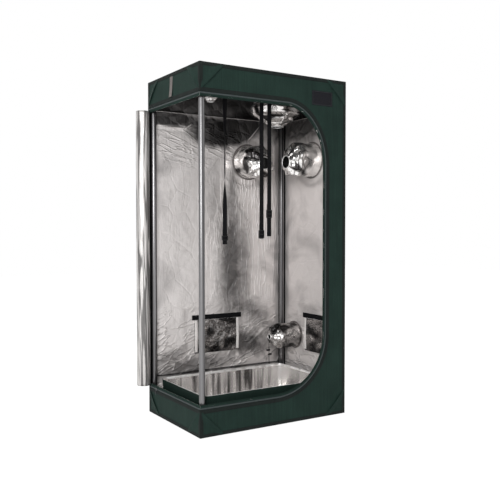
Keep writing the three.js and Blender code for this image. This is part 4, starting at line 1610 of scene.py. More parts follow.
@dataclass
class Trimmings(Assembly):
    """The bare label on the front and the ribbon hanging on the left band."""

    stitch_inset: float = 0.0045
    stitch_pitch: float = 0.0032

    def add_label(self) -> None:
        """Adds the bare label with its turned edge and a row of stitches."""
        low, high = corners("label_patch")

        def rule(across: float, up: float) -> Vector:
            """Point of the label, pillowed inside its stitched edge.

            Args:
                across: share across.
                up: share up.

            Returns:
                The point.
            """
            edge = min(across, 1 - across, (up if up < 0.5 else 1 - up) * 0.57)
            groove = 0.0005 * math.exp(-((edge - 0.035) / 0.008) ** 2)
            lift = 0.0004 + 0.0011 * smooth(edge, 0.0, 0.018) - groove
            spot = Vector((mixed(low.x, high.x, across), -HALF_DEPTH, mixed(low.z, high.z, up)))
            return spot - Y * (lift + 0.0004 * noise.noise(spot * 30))

        mesh = bent_grid(110, 62, rule, outward=-Y)
        add_piece("bare_label", mesh, self.looks.label, Slot.WEBBING, replaces=("label_patch",), thick=0.0004)
        stitches = bmesh.new()
        inset, pitch = self.stitch_inset, self.stitch_pitch
        for row in (low.z + inset, high.z - inset):
            for i in range(int((high.x - low.x - inset * 2) / pitch)):
                spot = Vector((low.x + inset + (i + 0.5) * pitch, 0, row))
                self.stitch(stitches, spot, Vector((0.0021, 0.0006, 0.0007)))
        for column in (low.x + inset, high.x - inset):
            for i in range(int((high.z - low.z - inset * 2) / pitch)):
                spot = Vector((column, 0, low.z + inset + (i + 0.5) * pitch))
                self.stitch(stitches, spot, Vector((0.0007, 0.0006, 0.0021)))
        add_piece("label_stitches", stitches, self.looks.zip_teeth, Slot.WEBBING)

    def stitch(self, mesh: Mesh, spot: Vector, size: Vector) -> None:
        """Adds one stitch to a mesh."""
        spot = Vector((spot.x, -HALF_DEPTH - 0.0013, spot.z))
        bmesh.ops.create_cube(mesh, size=1.0, matrix=Matrix.Translation(spot) @ Matrix.Diagonal((*size, 1)))

    def add_tag(self) -> None:
        """Adds the hanging ribbon, which follows its own hinge."""
        low, high = corners("hanging_tag")

        def rule(across: float, up: float) -> Vector:
            """Point of the ribbon, which lifts off towards its loose end.

            Args:
                across: share across.
                up: share up.

            Returns:
                The point.
            """
            drop = 1 - up
            out = 0.0006 + (abs(low.x) - HALF_WIDTH - 0.0022) * drop * drop
            y = mixed(low.y, high.y, across)
            cup = 0.0012 * drop * math.sin(math.pi * across)
            return Vector((-HALF_WIDTH - out - cup, y, mixed(low.z, high.z, up)))

        mesh = bent_grid(12, 40, rule, outward=-X)
        add_piece("hanging_ribbon", mesh, self.looks.tag, Slot.TAPE, body="hanging_tag",
                  replaces=("hanging_tag",), thick=0.0008)

    def build(self) -> None:
        """Adds both."""
        self.add_label()
        self.add_tag()


@dataclass
class Sleeve(Assembly):
    """A port's gathered foil sleeve, with a black cloth inside, a drawn mouth and hems on the wall."""

    name: str
    centre: Vector
    inward: Vector
    across: Vector
    radius: float
    length: float
    mouth: float
    droop: Vector
    shares: Pairs
    pleats: int
    seed: float
    crush: float = 0.13

    def spot(self, around: float, along: float, shrink: float = 0.0) -> Vector:
        """Point of the sleeve's skin.

        Args:
            around: share of a turn.
            along: share of the length, from the wall to the mouth.
            shrink: distance inside the skin.

        Returns:
            The point in the tent's frame.
        """
        up = self.inward.cross(self.across)
        angle = around * FULL_TURN
        reach = table_value(self.shares, along) * self.radius
        if along > 0.93:
            reach = mixed(reach, self.mouth, smooth(along, 0.93, 1.0))
        circle = Vector((math.cos(angle), math.sin(angle), self.seed))
        lengthwise = Vector((circle.x, circle.y, self.seed + along * 1.3))
        loose = smooth(along, 0.06, 0.35) * smooth(along, 1.02, 0.9)
        folds = noise.noise(lengthwise * 1.5 + wander(lengthwise, 1.3) * 0.6)
        fine = noise.noise(lengthwise * 3.4) + 0.5 * (crumple(lengthwise, 2.4, 1) - 0.5)
        gather = smooth(along, 0.45, 0.92) * smooth(along, 1.0, 0.975)
        pleat = math.cos(angle * self.pleats + 1.4 * math.sin(angle + self.seed) + along * 1.8)
        reach *= 1 + self.crush * loose * (folds + 0.18 * fine)
        reach *= 1 + 0.11 * gather * pleat
        reach -= shrink
        place = self.centre + self.inward * (0.0018 + (self.length - 0.002) * along) + self.droop * along ** 2
        return place + (self.across * math.cos(angle) + up * math.sin(angle)) * reach

    def build(self) -> None:
        """Adds the foil, the inner cloth, the mouth's rim and the two hems."""
        skin = bent_grid(112, 72, lambda u, v: self.spot(u, v), closed=True)
        # Low sleeves and roof sleeves take the darker copies of the foil: painted shade.
        material = self.looks.shaded_low_sleeve if self.centre.z < HEIGHT / 2 else self.looks.sleeve
        if self.inward.z < 0:
            material = self.looks.roof_sleeve
        foil = add_piece(f"{self.name}_foil", skin, material, Slot.LINING, replaces=(f"{self.name}_sleeve",),
                         thick=0.0006, crease=60)
        lining = bent_grid(72, 48, lambda u, v: self.spot(u, mixed(0.0, 0.995, v), 0.0018), closed=True)
        bmesh.ops.reverse_faces(lining, faces=lining.faces)
        add_piece(f"{self.name}_inner_cloth", lining, self.looks.black_cloth, Slot.WEBBING, crease=60)
        self.add_rims()

    def add_rims(self) -> None:
        """Adds the drawn rim at the mouth and the hems inside and outside the wall."""
        end = self.centre + self.inward * (self.length - 0.001) + self.droop
        rim = lathe([(self.mouth + 0.0008 + 0.0024 * math.cos(a), 0.0024 * math.sin(a))
                     for a in (i * FULL_TURN / 10 for i in range(10))], end, self.inward, 56)
        add_piece(f"{self.name}_mouth_rim", rim, self.looks.rim, Slot.LINING)
        inside = [(self.radius - 0.002, 0.0016), (self.radius + 0.006, 0.0016), (self.radius + 0.007, 0.0024),
                  (self.radius + 0.004, 0.0032), (self.radius - 0.001, 0.0030)]
        inner_hem = lathe(inside, self.centre, self.inward, 80)
        add_piece(f"{self.name}_inner_hem", inner_hem, self.looks.tag, Slot.TAPE)
        outside = [(self.radius - 0.0015, -0.0030), (self.radius + 0.009, -0.0026),
                   (self.radius + 0.0105, -0.0010), (self.radius + 0.0105, 0.0004),
                   (self.radius - 0.0015, 0.0004)]
        outer_hem = lathe(outside, self.centre - self.inward * CLOTH, self.inward, 80)
        add_piece(f"{self.name}_outer_hem", outer_hem, self.looks.trim, Slot.CLOTH)


@dataclass
class Ports(Assembly):
    """Every port's sleeve."""

    duct_length: float = 0.186
    roof_length: float = 0.226
    cable_length: float = 0.124
    duct: Pairs = (
        (0.0, 1.0), (0.1, 0.98), (0.24, 0.97), (0.4, 0.97), (0.55, 0.98), (0.68, 0.94), (0.82, 0.8),
        (0.93, 0.54), (1.0, 0.4),
    )
    lantern: Pairs = (
        (0.0, 1.0), (0.12, 0.95), (0.28, 0.93), (0.42, 1.02), (0.56, 1.15), (0.68, 1.08), (0.82, 0.74),
        (0.93, 0.44), (1.0, 0.35),
    )

    def build(self) -> None:
        """Adds the five sleeves."""
        inner_x = HALF_WIDTH - CLOTH
        inner_y = HALF_DEPTH - CLOTH
        top = HEIGHT - CLOTH
        sag = Vector((0, 0, -0.02))
        none = Vector((0, 0, 0))
        sleeves = [
            Sleeve(self.looks, "back_duct", Vector((BACK_DUCT, inner_y, DUCT_HEIGHT)), -Y, X, DUCT_RADIUS,
                   self.duct_length, 0.035, sag, self.duct, 8, 2.0),
            Sleeve(self.looks, "right_duct", Vector((inner_x, 0, DUCT_HEIGHT)), -X, Y, DUCT_RADIUS,
                   self.duct_length, 0.035, sag, self.duct, 9, 7.0),
            Sleeve(self.looks, "intake", Vector((inner_x, *INTAKE)), -X, Y, INTAKE_RADIUS,
                   self.duct_length, 0.015, none, self.duct, 8, 13.0),
            Sleeve(self.looks, "roof_duct", Vector((ROOF_DUCT, 0, top)), -Z, X, ROOF_DUCT_RADIUS,
                   self.roof_length, 0.035, Vector((0.02, 0, 0)), self.lantern, 7, 21.0, 0.07),
            Sleeve(self.looks, "roof_cable", Vector((CABLE_PORT, 0, top)), -Z, X, CABLE_RADIUS,
                   self.cable_length, 0.016, none, self.duct, 6, 33.0),
        ]
        for sleeve in sleeves:
            sleeve.build()


@dataclass
class Drawcord(Assembly):
    """Tail of the lower sleeve's drawcord, with its knot and two barrel locks."""

    route: Pairs = (
        (0.0, 0.0), (0.0004, 0.008), (0.0009, 0.018), (0.001, 0.030), (0.001, 0.048), (0.001, 0.070),
        (0.001, 0.092), (0.001, 0.112), (0.0016, 0.128), (0.0026, 0.143),
    )
    diameter: float = 0.0036
    length: float = 0.143
    exit: Vector = field(default_factory=lambda: Vector((0.2601, 0.168, 0.361)))

    def build(self) -> None:
        curve = bpy.data.curves.new("drawcord_line", "CURVE")
        curve.dimensions = "3D"
        curve.bevel_depth = self.diameter / 2
        curve.bevel_resolution = 4
        curve.use_fill_caps = True
        spline = curve.splines.new("NURBS")
        spline.points.add(len(self.route) - 1)
        for point, (sway, drop) in zip(spline.points, self.route):
            point.co = (self.exit.x + sway, self.exit.y, self.exit.z - drop, 1)
        spline.use_endpoint_u = True
        spline.order_u = 3
        spline.resolution_u = 8
        cord = bpy.data.objects.new("drawcord", curve)
        bpy.context.collection.objects.link(cord)
        curve.materials.append(self.looks.webbing)
        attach(cord, "tent")
        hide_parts("drawcord_tail")
        locks = [self.add_lock("upper"), self.add_lock("lower")]
        end = self.exit + Vector((self.route[-1][0], 0, -self.route[-1][1] + 0.001))
        knot = bent_grid(24, 14, lambda u, v: self.knot_spot(end, u, v), closed=True)
        knot_piece = add_piece("drawcord_knot", knot, self.looks.webbing, Slot.WEBBING)
        tuple(self.exit)

    def knot_spot(self, end: Vector, around: float, up: float) -> Vector:
        """Point of the knot, a small ball with a turn of cord round it.

        Args:
            end: the knot's middle.
            around: share of a turn.
            up: share up.

        Returns:
            The point.
        """
        angle = around * FULL_TURN
        rise = (up - 0.5) * math.pi
        radius = 0.0031 * (1 + 0.16 * math.cos(angle * 2 + rise * 3))
        flat = math.cos(rise) * radius
        return end + Vector((math.cos(angle) * flat, math.sin(angle) * flat, math.sin(rise) * radius))

    def add_lock(self, place: str) -> Object:
        """Adds one barrel lock, with a grooved body and a button at one end.

        Args:
            place: upper or lower.

        Returns:
            The lock.
        """
        node = f"cord_lock_{place}"
        low, high = corners(node)
        radius = (high.z - low.z) / 2
        length = high.x - low.x
        middle = (low + high) / 2
        start = Vector((low.x, middle.y, middle.z))
        profile = [(0.0, 0.0), (radius * 0.7, 0.0), (radius * 0.78, 0.0006), (radius * 0.78, length * 0.16),
                   (radius * 0.93, length * 0.17), (radius, length * 0.2), (radius, length * 0.48),
                   (radius * 0.94, length * 0.5), (radius, length * 0.52), (radius, length * 0.92),
                   (radius * 0.9, length), (0.0, length)]
        mesh = lathe(profile, start, X, 32)
        return add_piece(f"{node}_barrel", mesh, self.looks.plastic, Slot.PLASTIC, body=node,
                         replaces=(node,))


@dataclass
class Vent(Assembly):
    """A low vent: net in the wall, pale piping, a hinged foil flap and the bar of hook-and-loop tape."""

    name: str
    origin: Vector
    across: Vector
    outward: Vector
    seed: float
    half: float = VENT_HALF
    low: float = VENT_LOW
    top: float = VENT_TOP
    pitch: float = 0.0026
    thread: float = 0.0007
    hem: float = 0.012

    def spot(self, across: float, up: float, out: float) -> Vector:
        """Point of the vent, across from its middle, at a height, outside the wall's inner face."""
        return self.origin + self.across * across + Z * up + self.outward * out

    def add_net(self) -> None:
        """Adds the net as crossing threads, with a hem round it."""
        mesh = bmesh.new()
        pitch, thread, band = self.pitch, self.thread, self.hem
        wide = self.half * 2 - 0.001
        tall = self.top - self.low - 0.001
        basis = Matrix((self.across, self.outward, Z)).transposed().to_4x4()

        def bar(across: float, up: float, size: tuple[float, float, float], out: float) -> None:
            """Adds one thread."""
            place = Matrix.Translation(self.spot(across, up, out)) @ basis @ Matrix.Diagonal((*size, 1))
            bmesh.ops.create_cube(mesh, size=1.0, matrix=place)

        for i in range(int(wide / pitch) + 1):
            bar(-wide / 2 + i * pitch, (self.low + self.top) / 2, (thread, thread, tall), 0.0006)
        for i in range(int(tall / pitch) + 1):
            bar(0.0, self.low + 0.0005 + i * pitch, (wide, thread, thread), 0.0011)
        add_piece(f"{self.name}_vent_net", mesh, self.looks.net, Slot.MESH,
                  replaces=(f"{self.name}_vent_mesh",))
        hems = []
        for left, low, right, top in (
            (-self.half - band, self.low - band, self.half + band, self.low),
            (-self.half - band, self.top, self.half + band, self.top + band),
            (-self.half - band, self.low, -self.half, self.top),
            (self.half, self.low, self.half + band, self.top),
        ):
            ends = (self.spot(left, low, CLOTH + 0.0002), self.spot(right, top, CLOTH + 0.0016))
            small = Vector(map(min, *ends))
            large = Vector(map(max, *ends))
            hems.append(rounded_box(small, large, 0.0005, 1))
        add_piece(f"{self.name}_vent_hem", merged(*hems), self.looks.trim, Slot.CLOTH)

    def add_bar(self) -> None:
        """Adds the bar of hook-and-loop tape over the flap's top edge."""
        node = f"{self.name}_vent_bar"
        low, high = corners(node)
        mesh = rounded_box(low, high, 0.0009, 2)
        bmesh.ops.subdivide_edges(mesh, edges=[e for e in mesh.edges if e.calc_length() > 0.1], cuts=40)
        for vertex in mesh.verts:
            sway = 0.0006 * noise.noise(vertex.co * 22 + Vector((self.seed, 0, 0)))
            vertex.co += self.outward * min(sway, 0.0) + Z * sway
        add_piece(f"{node}_tape", mesh, self.looks.velcro, Slot.WEBBING, replaces=(node,))

    def add_flap(self) -> None:
        """Adds the crumpled flap and the pale piping down its sides, both on the flap's hinge."""
        node = f"{self.name}_vent_flap"
        wide = self.half + 0.009
        low = self.low - 0.009

        def relief(across: float, up: float) -> float:
            """How far the flap bows into the tent.

            Args:
                across: share across.
                up: share up.

            Returns:
                The distance.
            """
            spot = Vector((across * 0.3, up * 0.2, self.seed))
            bow = math.sin(math.pi * up) ** 1.5
            sides = smooth(across, 0.0, 0.12) * smooth(across, 1.0, 0.88)
            folds = crumple(spot + wander(spot, 6) * 0.05, 13, 2)
            return 0.001 + bow * (0.002 + 0.0115 * folds * sides)

        def rule(across: float, up: float) -> Vector:
            """Point of the flap."""
            return self.spot(mixed(-wide, wide, across), mixed(low, self.top, up), -relief(across, up))

        mesh = bent_grid(84, 56, rule, outward=-self.outward)
        flap = add_piece(f"{node}_foil", mesh, self.looks.flap, Slot.LINING, body=node, replaces=(node,),
                         thick=0.0006)
        for side, sign in (("near", -1), ("far", 1)):
            strip = bent_grid(6, 40, lambda u, v, s=sign: self.spot(
                s * mixed(self.half - 0.010, self.half + 0.008, u), mixed(low + 0.008, self.top, v),
                -0.0022 - relief(0.5 + s * 0.5 * (self.half - 0.002) / wide, v)
                - 0.0012 * math.sin(math.pi * u)), outward=-self.outward)
            add_piece(f"{node}_{side}_piping", strip, self.looks.piping, Slot.LINING, body=node, thick=0.0006)

    def build(self) -> None:
        """Adds the whole vent."""
        self.add_net()
        self.add_bar()
        self.add_flap()


@dataclass
class Crossbar(Assembly):
    """A hanging bar with a sprung hook at each end."""

    node: str
    radius: float = 0.0095
    bore: float = 0.0083
    socket: float = 0.044
    hook_wall: float = 0.003
    hook_half: float = 0.012

    def build(self) -> None:
        """Adds the bar, its sockets and its hooks in place of the plain solid."""
        low, high = corners(self.node)
        middle_y = (low.y + high.y) / 2
        post_x = HALF_WIDTH - TUBE_INSET
        rail_z = HEIGHT - TUBE_INSET
        inner = TUBE_RADIUS + GAP
        outer = inner + self.hook_wall
        seat = post_x - outer
        section = [(self.bore, -seat), (self.radius, -seat), (self.radius, seat), (self.bore, seat)]
        bar = lathe(section, Vector((0, middle_y, rail_z)), X, 40)
        add_piece(f"{self.node}_tube", bar, self.looks.steel_across, Slot.STEEL, body=self.node,
                  replaces=(self.node,))
        parts = []
        for side in (-1, 1):
            socket = [(0.0098, 0.0), (0.0112, 0.0), (0.0125, 0.002), (0.0125, self.socket),
                      (0.0098, self.socket)]
            start = Vector((side * (seat - self.socket), middle_y, rail_z))
            parts.append(lathe(socket, start, X * side, 40))
            parts.append(self.hook(side, post_x, middle_y, rail_z, inner, outer))
        add_piece(f"{self.node}_hooks", merged(*parts), self.looks.plastic, Slot.PLASTIC, body=self.node)

    def hook(self, side: int, x: float, y: float, z: float, inner: float, outer: float) -> Mesh:
        """One hook, open below, over the top rail.

        Args:
            side: -1 at the left end, 1 at the right.
            x: distance of the rail from the middle.
            y: depth of the bar.
            z: height of the rail.
            inner: inner radius.
            outer: outer radius.

        Returns:
            The mesh.
        """
        def rule(around: float, section: float) -> Vector:
            """Point of the hook's skin, with rounded edges round its section.

            Args:
                around: share of a turn.
                section: share round its section.

            Returns:
                The point.
            """
            start, end = (-0.25 * math.pi, math.pi) if side < 0 else (0.0, 1.25 * math.pi)
            angle = mixed(start, end, around)
            corner = section * FULL_TURN
            wide = self.hook_half * max(-1.0, min(1.0, 1.25 * math.cos(corner)))
            deep = (inner + outer) / 2 + (outer - inner) / 2 * max(-1.0, min(1.0, 1.25 * math.sin(corner)))
            return Vector((x * side + deep * math.cos(angle), y + wide, z + deep * math.sin(angle)))

        mesh = bent_grid(36, 16, rule)
        bmesh.ops.remove_doubles(mesh, verts=mesh.verts, dist=WELD)
        rims = [edge for edge in mesh.edges if edge.is_boundary]
        bmesh.ops.holes_fill(mesh, edges=rims)
        bmesh.ops.recalc_face_normals(mesh, faces=mesh.faces)
        return mesh


@dataclass
class Strap(Assembly):
    """One hanging strap: its loop, its doubled webbing and its ladder buckle."""

    number: int
    twisted: bool = False
    width: float = 0.025
    thick: float = 0.0016
    buckle_wall: float = 0.003

    def build(self) -> None:
        """Adds the strap's pieces on their bodies."""
        name = f"strap_{self.number}"
        self.add_loop(name)
        self.add_webbing(name)
        self.add_buckle(name)

    def add_loop(self, name: str) -> None:
        """Adds the sewn loop over the crossbar, with its box of stitches.

        Args:
            name: the strap's name.
        """
        low, high = corners(f"{name}_loop")
        x = (low.x + high.x) / 2
        y = (low.y + high.y) / 2
        radius = (high.y - low.y) / 2 - self.thick / 2
        bar_z = high.z - radius - self.thick / 2

        def rule(across: float, along: float) -> Vector:
            """Point of the loop's middle line, up one side, over the bar and down the other.

            Args:
                across: share across.
                along: share along.

            Returns:
                The point.
            """
            tail = bar_z - radius - low.z
            bend = radius * (FULL_TURN - 0.6)
            run = along * (tail * 2 + bend)
            side = mixed(x - self.width / 2, x + self.width / 2, across)
            if run < tail:
                return Vector((side, y - self.thick / 2, low.z + run))
            if run > tail + bend:
                down = run - tail - bend
                return Vector((side, y + self.thick / 2, bar_z - radius - down))
            angle = -QUARTER - 0.05 - (run - tail) / bend * (FULL_TURN - 0.1)
            return Vector((side, y + radius * math.cos(angle), bar_z + radius * math.sin(angle)))

        mesh = bent_grid(8, 110, rule, outward=Z)
        piece = add_piece(f"{name}_sewn_loop", mesh, self.looks.webbing, Slot.WEBBING, body=f"{name}_runner",
                          replaces=(f"{name}_loop",), thick=self.thick)
        piece.modifiers["cloth_wall"].offset = 0

    def add_webbing(self, name: str) -> None:
        """Adds the webbing: down to its fold and up again to its tail behind.

        Args:
            name: the strap's name.
        """
        low, high = corners(f"{name}_webbing")
        x = (low.x + high.x) / 2
        front = low.y + self.thick / 2
        rear = high.y - self.thick / 2
        bend = (rear - front) / 2
        buckle_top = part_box(f"{name}_buckle")[1][2]
        tail_top = buckle_top + 0.03
        down = high.z - low.z - bend
        turn = math.pi * bend
        up = tail_top - low.z - bend
        total = down + turn + up

        def middle(run: float) -> tuple[float, float]:
            """Depth and height of the webbing's middle line.

            Args:
                run: distance along the webbing.

            Returns:
                The depth and the height.
            """
            if run < down:
                return front, high.z - run
            if run < down + turn:
                angle = (run - down) / bend
                return front + bend - bend * math.cos(angle), low.z + bend - bend * math.sin(angle)
            return rear, low.z + bend + (run - down - turn)

        def rule(across: float, along: float) -> Vector:
            """Point of the webbing, turned on itself where it hangs twisted.

            Args:
                across: share across.
                along: share along.

            Returns:
                The point.
            """
            depth, height = middle(along * total)
            reach = (across - 0.5) * self.width
            angle = 0.0
            if self.twisted and along * total < down:
                fall = high.z - height
                angle = 1.25 * smooth(fall, 0.05, 0.34) * smooth(fall, 0.62, 0.42)
            free = smooth(height, tail_top + 0.05, tail_top + 0.2)
            sway = 0.0012 * free * noise.noise(Vector((self.number * 3.1, 0, height * 5)))
            return Vector((x + reach * math.cos(angle) + sway, depth + reach * math.sin(angle), height))

        mesh = bent_grid(8, 260, rule, outward=-Y)
        piece = add_piece(f"{name}_web", mesh, self.looks.webbing, Slot.WEBBING, body=name,
                          replaces=(f"{name}_webbing",), thick=self.thick)
        piece.modifiers["cloth_wall"].offset = 0

    def add_buckle(self, name: str) -> None:
        """Adds the ladder buckle: a frame with rounded rails and two bars.

        Args:
            name: the strap's name.
        """
        node = f"{name}_buckle"
        low, high = corners(node)
        wall = self.buckle_wall
        rung = wall * 1.3
        tall = high.z - low.z
        parts = [
            rounded_box(low, Vector((low.x + wall, high.y, high.z)), 0.0012),
            rounded_box(Vector((high.x - wall, low.y, low.z)), high, 0.0012),
        ]
        bars = [0.0, 0.5, 1.0] if tall > 0.03 else [0.0, 1.0]
        for share in bars:
            z = mixed(low.z, high.z - rung, share)
            parts.append(rounded_box(Vector((low.x + 0.001, low.y, z)),
                                     Vector((high.x - 0.001, low.y + wall, z + rung)), 0.001))
            parts.append(rounded_box(Vector((low.x + 0.001, high.y - wall, z)),
                                     Vector((high.x - 0.001, high.y, z + rung)), 0.001))
        add_piece(f"{name}_ladder_buckle", merged(*parts), self.looks.plastic, Slot.PLASTIC,
                  body=f"{name}_adjuster", replaces=(node,))


@dataclass
class Tray(Assembly):
    """Spill tray: a soft basin, silver inside and green outside."""

    corner: float = 0.042

    def outline(self, around: float, half: tuple[float, float], corner: float) -> tuple[float, float]:
        """Point of a rounded rectangle at a share of its way round.

        Args:
            around: share of a turn.
            half: half width and half depth.
            corner: radius of the corners.

        Returns:
            The point.
        """
        straight = (half[0] - corner, half[1] - corner)
        arc = QUARTER * corner
        runs = [straight[1] * 2, arc, straight[0] * 2, arc] * 2
        run = (around % 1.0) * sum(runs)
        x, y = half[0], -straight[1]
        heading = QUARTER
        for i, length in enumerate(runs):
            part = min(run, length)
            if i % 2 == 0:
                x += math.cos(heading) * part
                y += math.sin(heading) * part
            else:
                turn = part / corner
                centre = (x - corner * math.cos(heading - QUARTER), y - corner * math.sin(heading - QUARTER))
                heading += turn
                x = centre[0] + corner * math.cos(heading - QUARTER)
                y = centre[1] + corner * math.sin(heading - QUARTER)
            run -= part
            if run <= WELD:
                break
        return x, y

    def build(self) -> None:
        """Adds the foil basin, the cloth round it and the bound rim."""
        low, high = corners("spill_tray")
        half = (high.x, high.y)

        def wall_spot(around: float, up: float, inset: float) -> Vector:
            """Point of the standing wall.

            Args:
                around: share of a turn.
                up: share of the wall's height.
                inset: distance inside the outer face.

            Returns:
                The point.
            """
            x, y = self.outline(around, (half[0] - inset, half[1] - inset), self.corner - inset * 0.5)
            spot = Vector((x, y, 0))
            pleat = crumple(Vector((x * 2, y * 2, 0)) + wander(spot, 3) * 0.2, 14, 2) - 0.4
            lean = (0.002 + 0.004 * max(pleat, 0.0)) * math.sin(math.pi * up) + 0.004 * (1 - up)
            inward = Vector((-x, -y, 0)).normalized()
            sag = 0.002 * noise.noise(spot * 6 + Vector((0, 0, 5))) * up
            return spot + inward * lean + Z * (mixed(low.z + 0.001, high.z - 0.001, up) + min(sag, 0.0))

        outer = bent_grid(360, 14, lambda u, v: wall_spot(u, v, 0.0004), closed=True)
        cloth = add_piece("tray_outer_cloth", outer, self.looks.lip, Slot.CLOTH, body="spill_tray",
                          replaces=("spill_tray",), thick=0.0006)

        def basin_spot(around: float, inwards: float) -> Vector:
            """Point of the basin, from its rim down the wall and in to the floor's middle.

            Args:
                around: share of a turn.
                inwards: share from the rim to the middle.

            Returns:
                The point.
            """
            if inwards < 0.4:
                up = 1 - inwards / 0.4
                return wall_spot(around, max(up, 0.02), 0.0022)
            share = (inwards - 0.4) / 0.6
            foot = wall_spot(around, 0.02, 0.0022)
            spot = Vector((foot.x * (1 - share), foot.y * (1 - share), 0))
            across = Vector((spot.x, spot.y * 0.22, 0))
            swell = crumple(across + wander(across, 5) * 0.03, 6, 2) + 0.5 * noise.noise(spot * 3)
            floor = low.z + 0.0028 + 0.004 * max(swell, 0.0) * smooth(share, 0.0, 0.1)
            return Vector((spot.x, spot.y, floor))

        basin = bent_grid(320, 60, basin_spot, closed=True)
        face_towards(basin, Z)
        piece = add_piece("tray_basin_foil", basin, self.looks.basin, Slot.LINING, body="spill_tray",
                          replaces=("spill_tray",), thick=0.0004)

        def rim_spot(around: float, section: float) -> Vector:
            """Point of the bound rim.

            Args:
                around: share of a turn.
                section: share round its section.

            Returns:
                The point.
            """
            top = wall_spot(around, 1.0, 0.0030)
            angle = section * FULL_TURN
            outward = Vector((top.x, top.y, 0)).normalized()
            return top + outward * 0.0013 * math.cos(angle) + Z * (0.0060 * math.sin(angle) - 0.0052)

        rim = bent_grid(360, 12, rim_spot, closed=True)
        add_piece("tray_bound_rim", rim, self.looks.rim, Slot.LINING, body="spill_tray")


@dataclass
class ZipHardware(Assembly):
    """The zip's slider and the pull that hangs from it."""

    rail: float = 0.0016

    def build(self) -> None:
        """Adds the slider's body and bail, and the pull with its grip."""
        low, high = corners("zip_slider")
        slider_back = high.x - 0.0005
        face = low.x + 0.0041
        middle = (low + high) / 2
        body = rounded_box(Vector((face, low.y, low.z)), Vector((face + 0.0017, high.y, high.z)), 0.0008, 3)
        rails = [rounded_box(Vector((face, low.y, z)), Vector((slider_back, high.y, z + self.rail)), 0.0006)
                 for z in (low.z, high.z - self.rail)]
        bail = []
        for i in range(10):
            angle = mixed(0.0, math.pi, i / 9)
            spot = Vector((face - 0.0037 * math.sin(angle), middle.y + 0.0035 * math.cos(angle), middle.z))
            bail.append(lathe([(0.0, -0.0008), (0.0009, -0.0008), (0.0009, 0.0008), (0.0, 0.0008)],
                              spot, Vector((math.cos(angle), math.sin(angle), 0)), 12))
        add_piece("zip_slider_body", merged(body, *rails, *bail), self.looks.zinc, Slot.ZINC,
                  body="zip_slider", replaces=("zip_slider",))
        low, high = corners("zip_pull")
        middle = (low + high) / 2

        def rule(around: float, up: float) -> Vector:
            """Point of the pull's skin: a ring at the top, a waist, and a flared grip.

            Args:
                around: share of a turn.
                up: share up.

            Returns:
                The point.
            """
            angle = around * FULL_TURN
            wide = table_value(((0.0, 0.0), (0.03, 0.0018), (0.3, 0.0023), (0.7, 0.0016), (0.85, 0.0022),
                                (0.97, 0.0018), (1.0, 0.0)), up)
            thick = table_value(((0.0, 0.0), (0.03, 0.0007), (0.97, 0.0009), (1.0, 0.0)), up)
            return Vector((middle.x + thick * math.cos(angle), middle.y + wide * math.sin(angle),
                           mixed(low.z, high.z, up)))

        pull = bent_grid(20, 40, rule, closed=True)
        add_piece("zip_pull_tab", pull, self.looks.zinc, Slot.ZINC, body="zip_pull", replaces=("zip_pull",))


@dataclass
class CornerStrips(Assembly):
    """Near-black strips down the inner corners behind the posts."""

    width: float = 0.030

    def build(self) -> None:
        """Adds the strips on both sides of the back right corner and on the back left one."""
        inner_x = HALF_WIDTH - CLOTH - 0.0006
        inner_y = HALF_DEPTH - CLOTH - 0.0006
        low, high = 0.045, HEIGHT - 0.045
        for name, x, across, reach in (
            ("back_right", inner_x, -X, (self.width, self.width)),
            ("back_left", -inner_x, X, (self.width, 0.004)),
        ):
            def rule(side: float, up: float) -> Vector:
                """Point of the strip folded into the corner.

                Args:
                    side: share across.
                    up: share up.

                Returns:
                    The point.
                """
                height = mixed(low, high, up)
                turn = (side - 0.5) * 2
                wave = 0.0008 * noise.noise(Vector((0, 0, height * 12)))
                spot = Vector((x, inner_y, height))
                if turn < 0:
                    return spot + across * (-turn * reach[0] + wave)
                return spot - Y * (turn * reach[1] + wave)

            mesh = bent_grid(12, 160, rule, outward=across - Y)
            add_piece(f"{name}_inner_strip", mesh, self.looks.black_cloth, Slot.WEBBING, thick=0.0005)


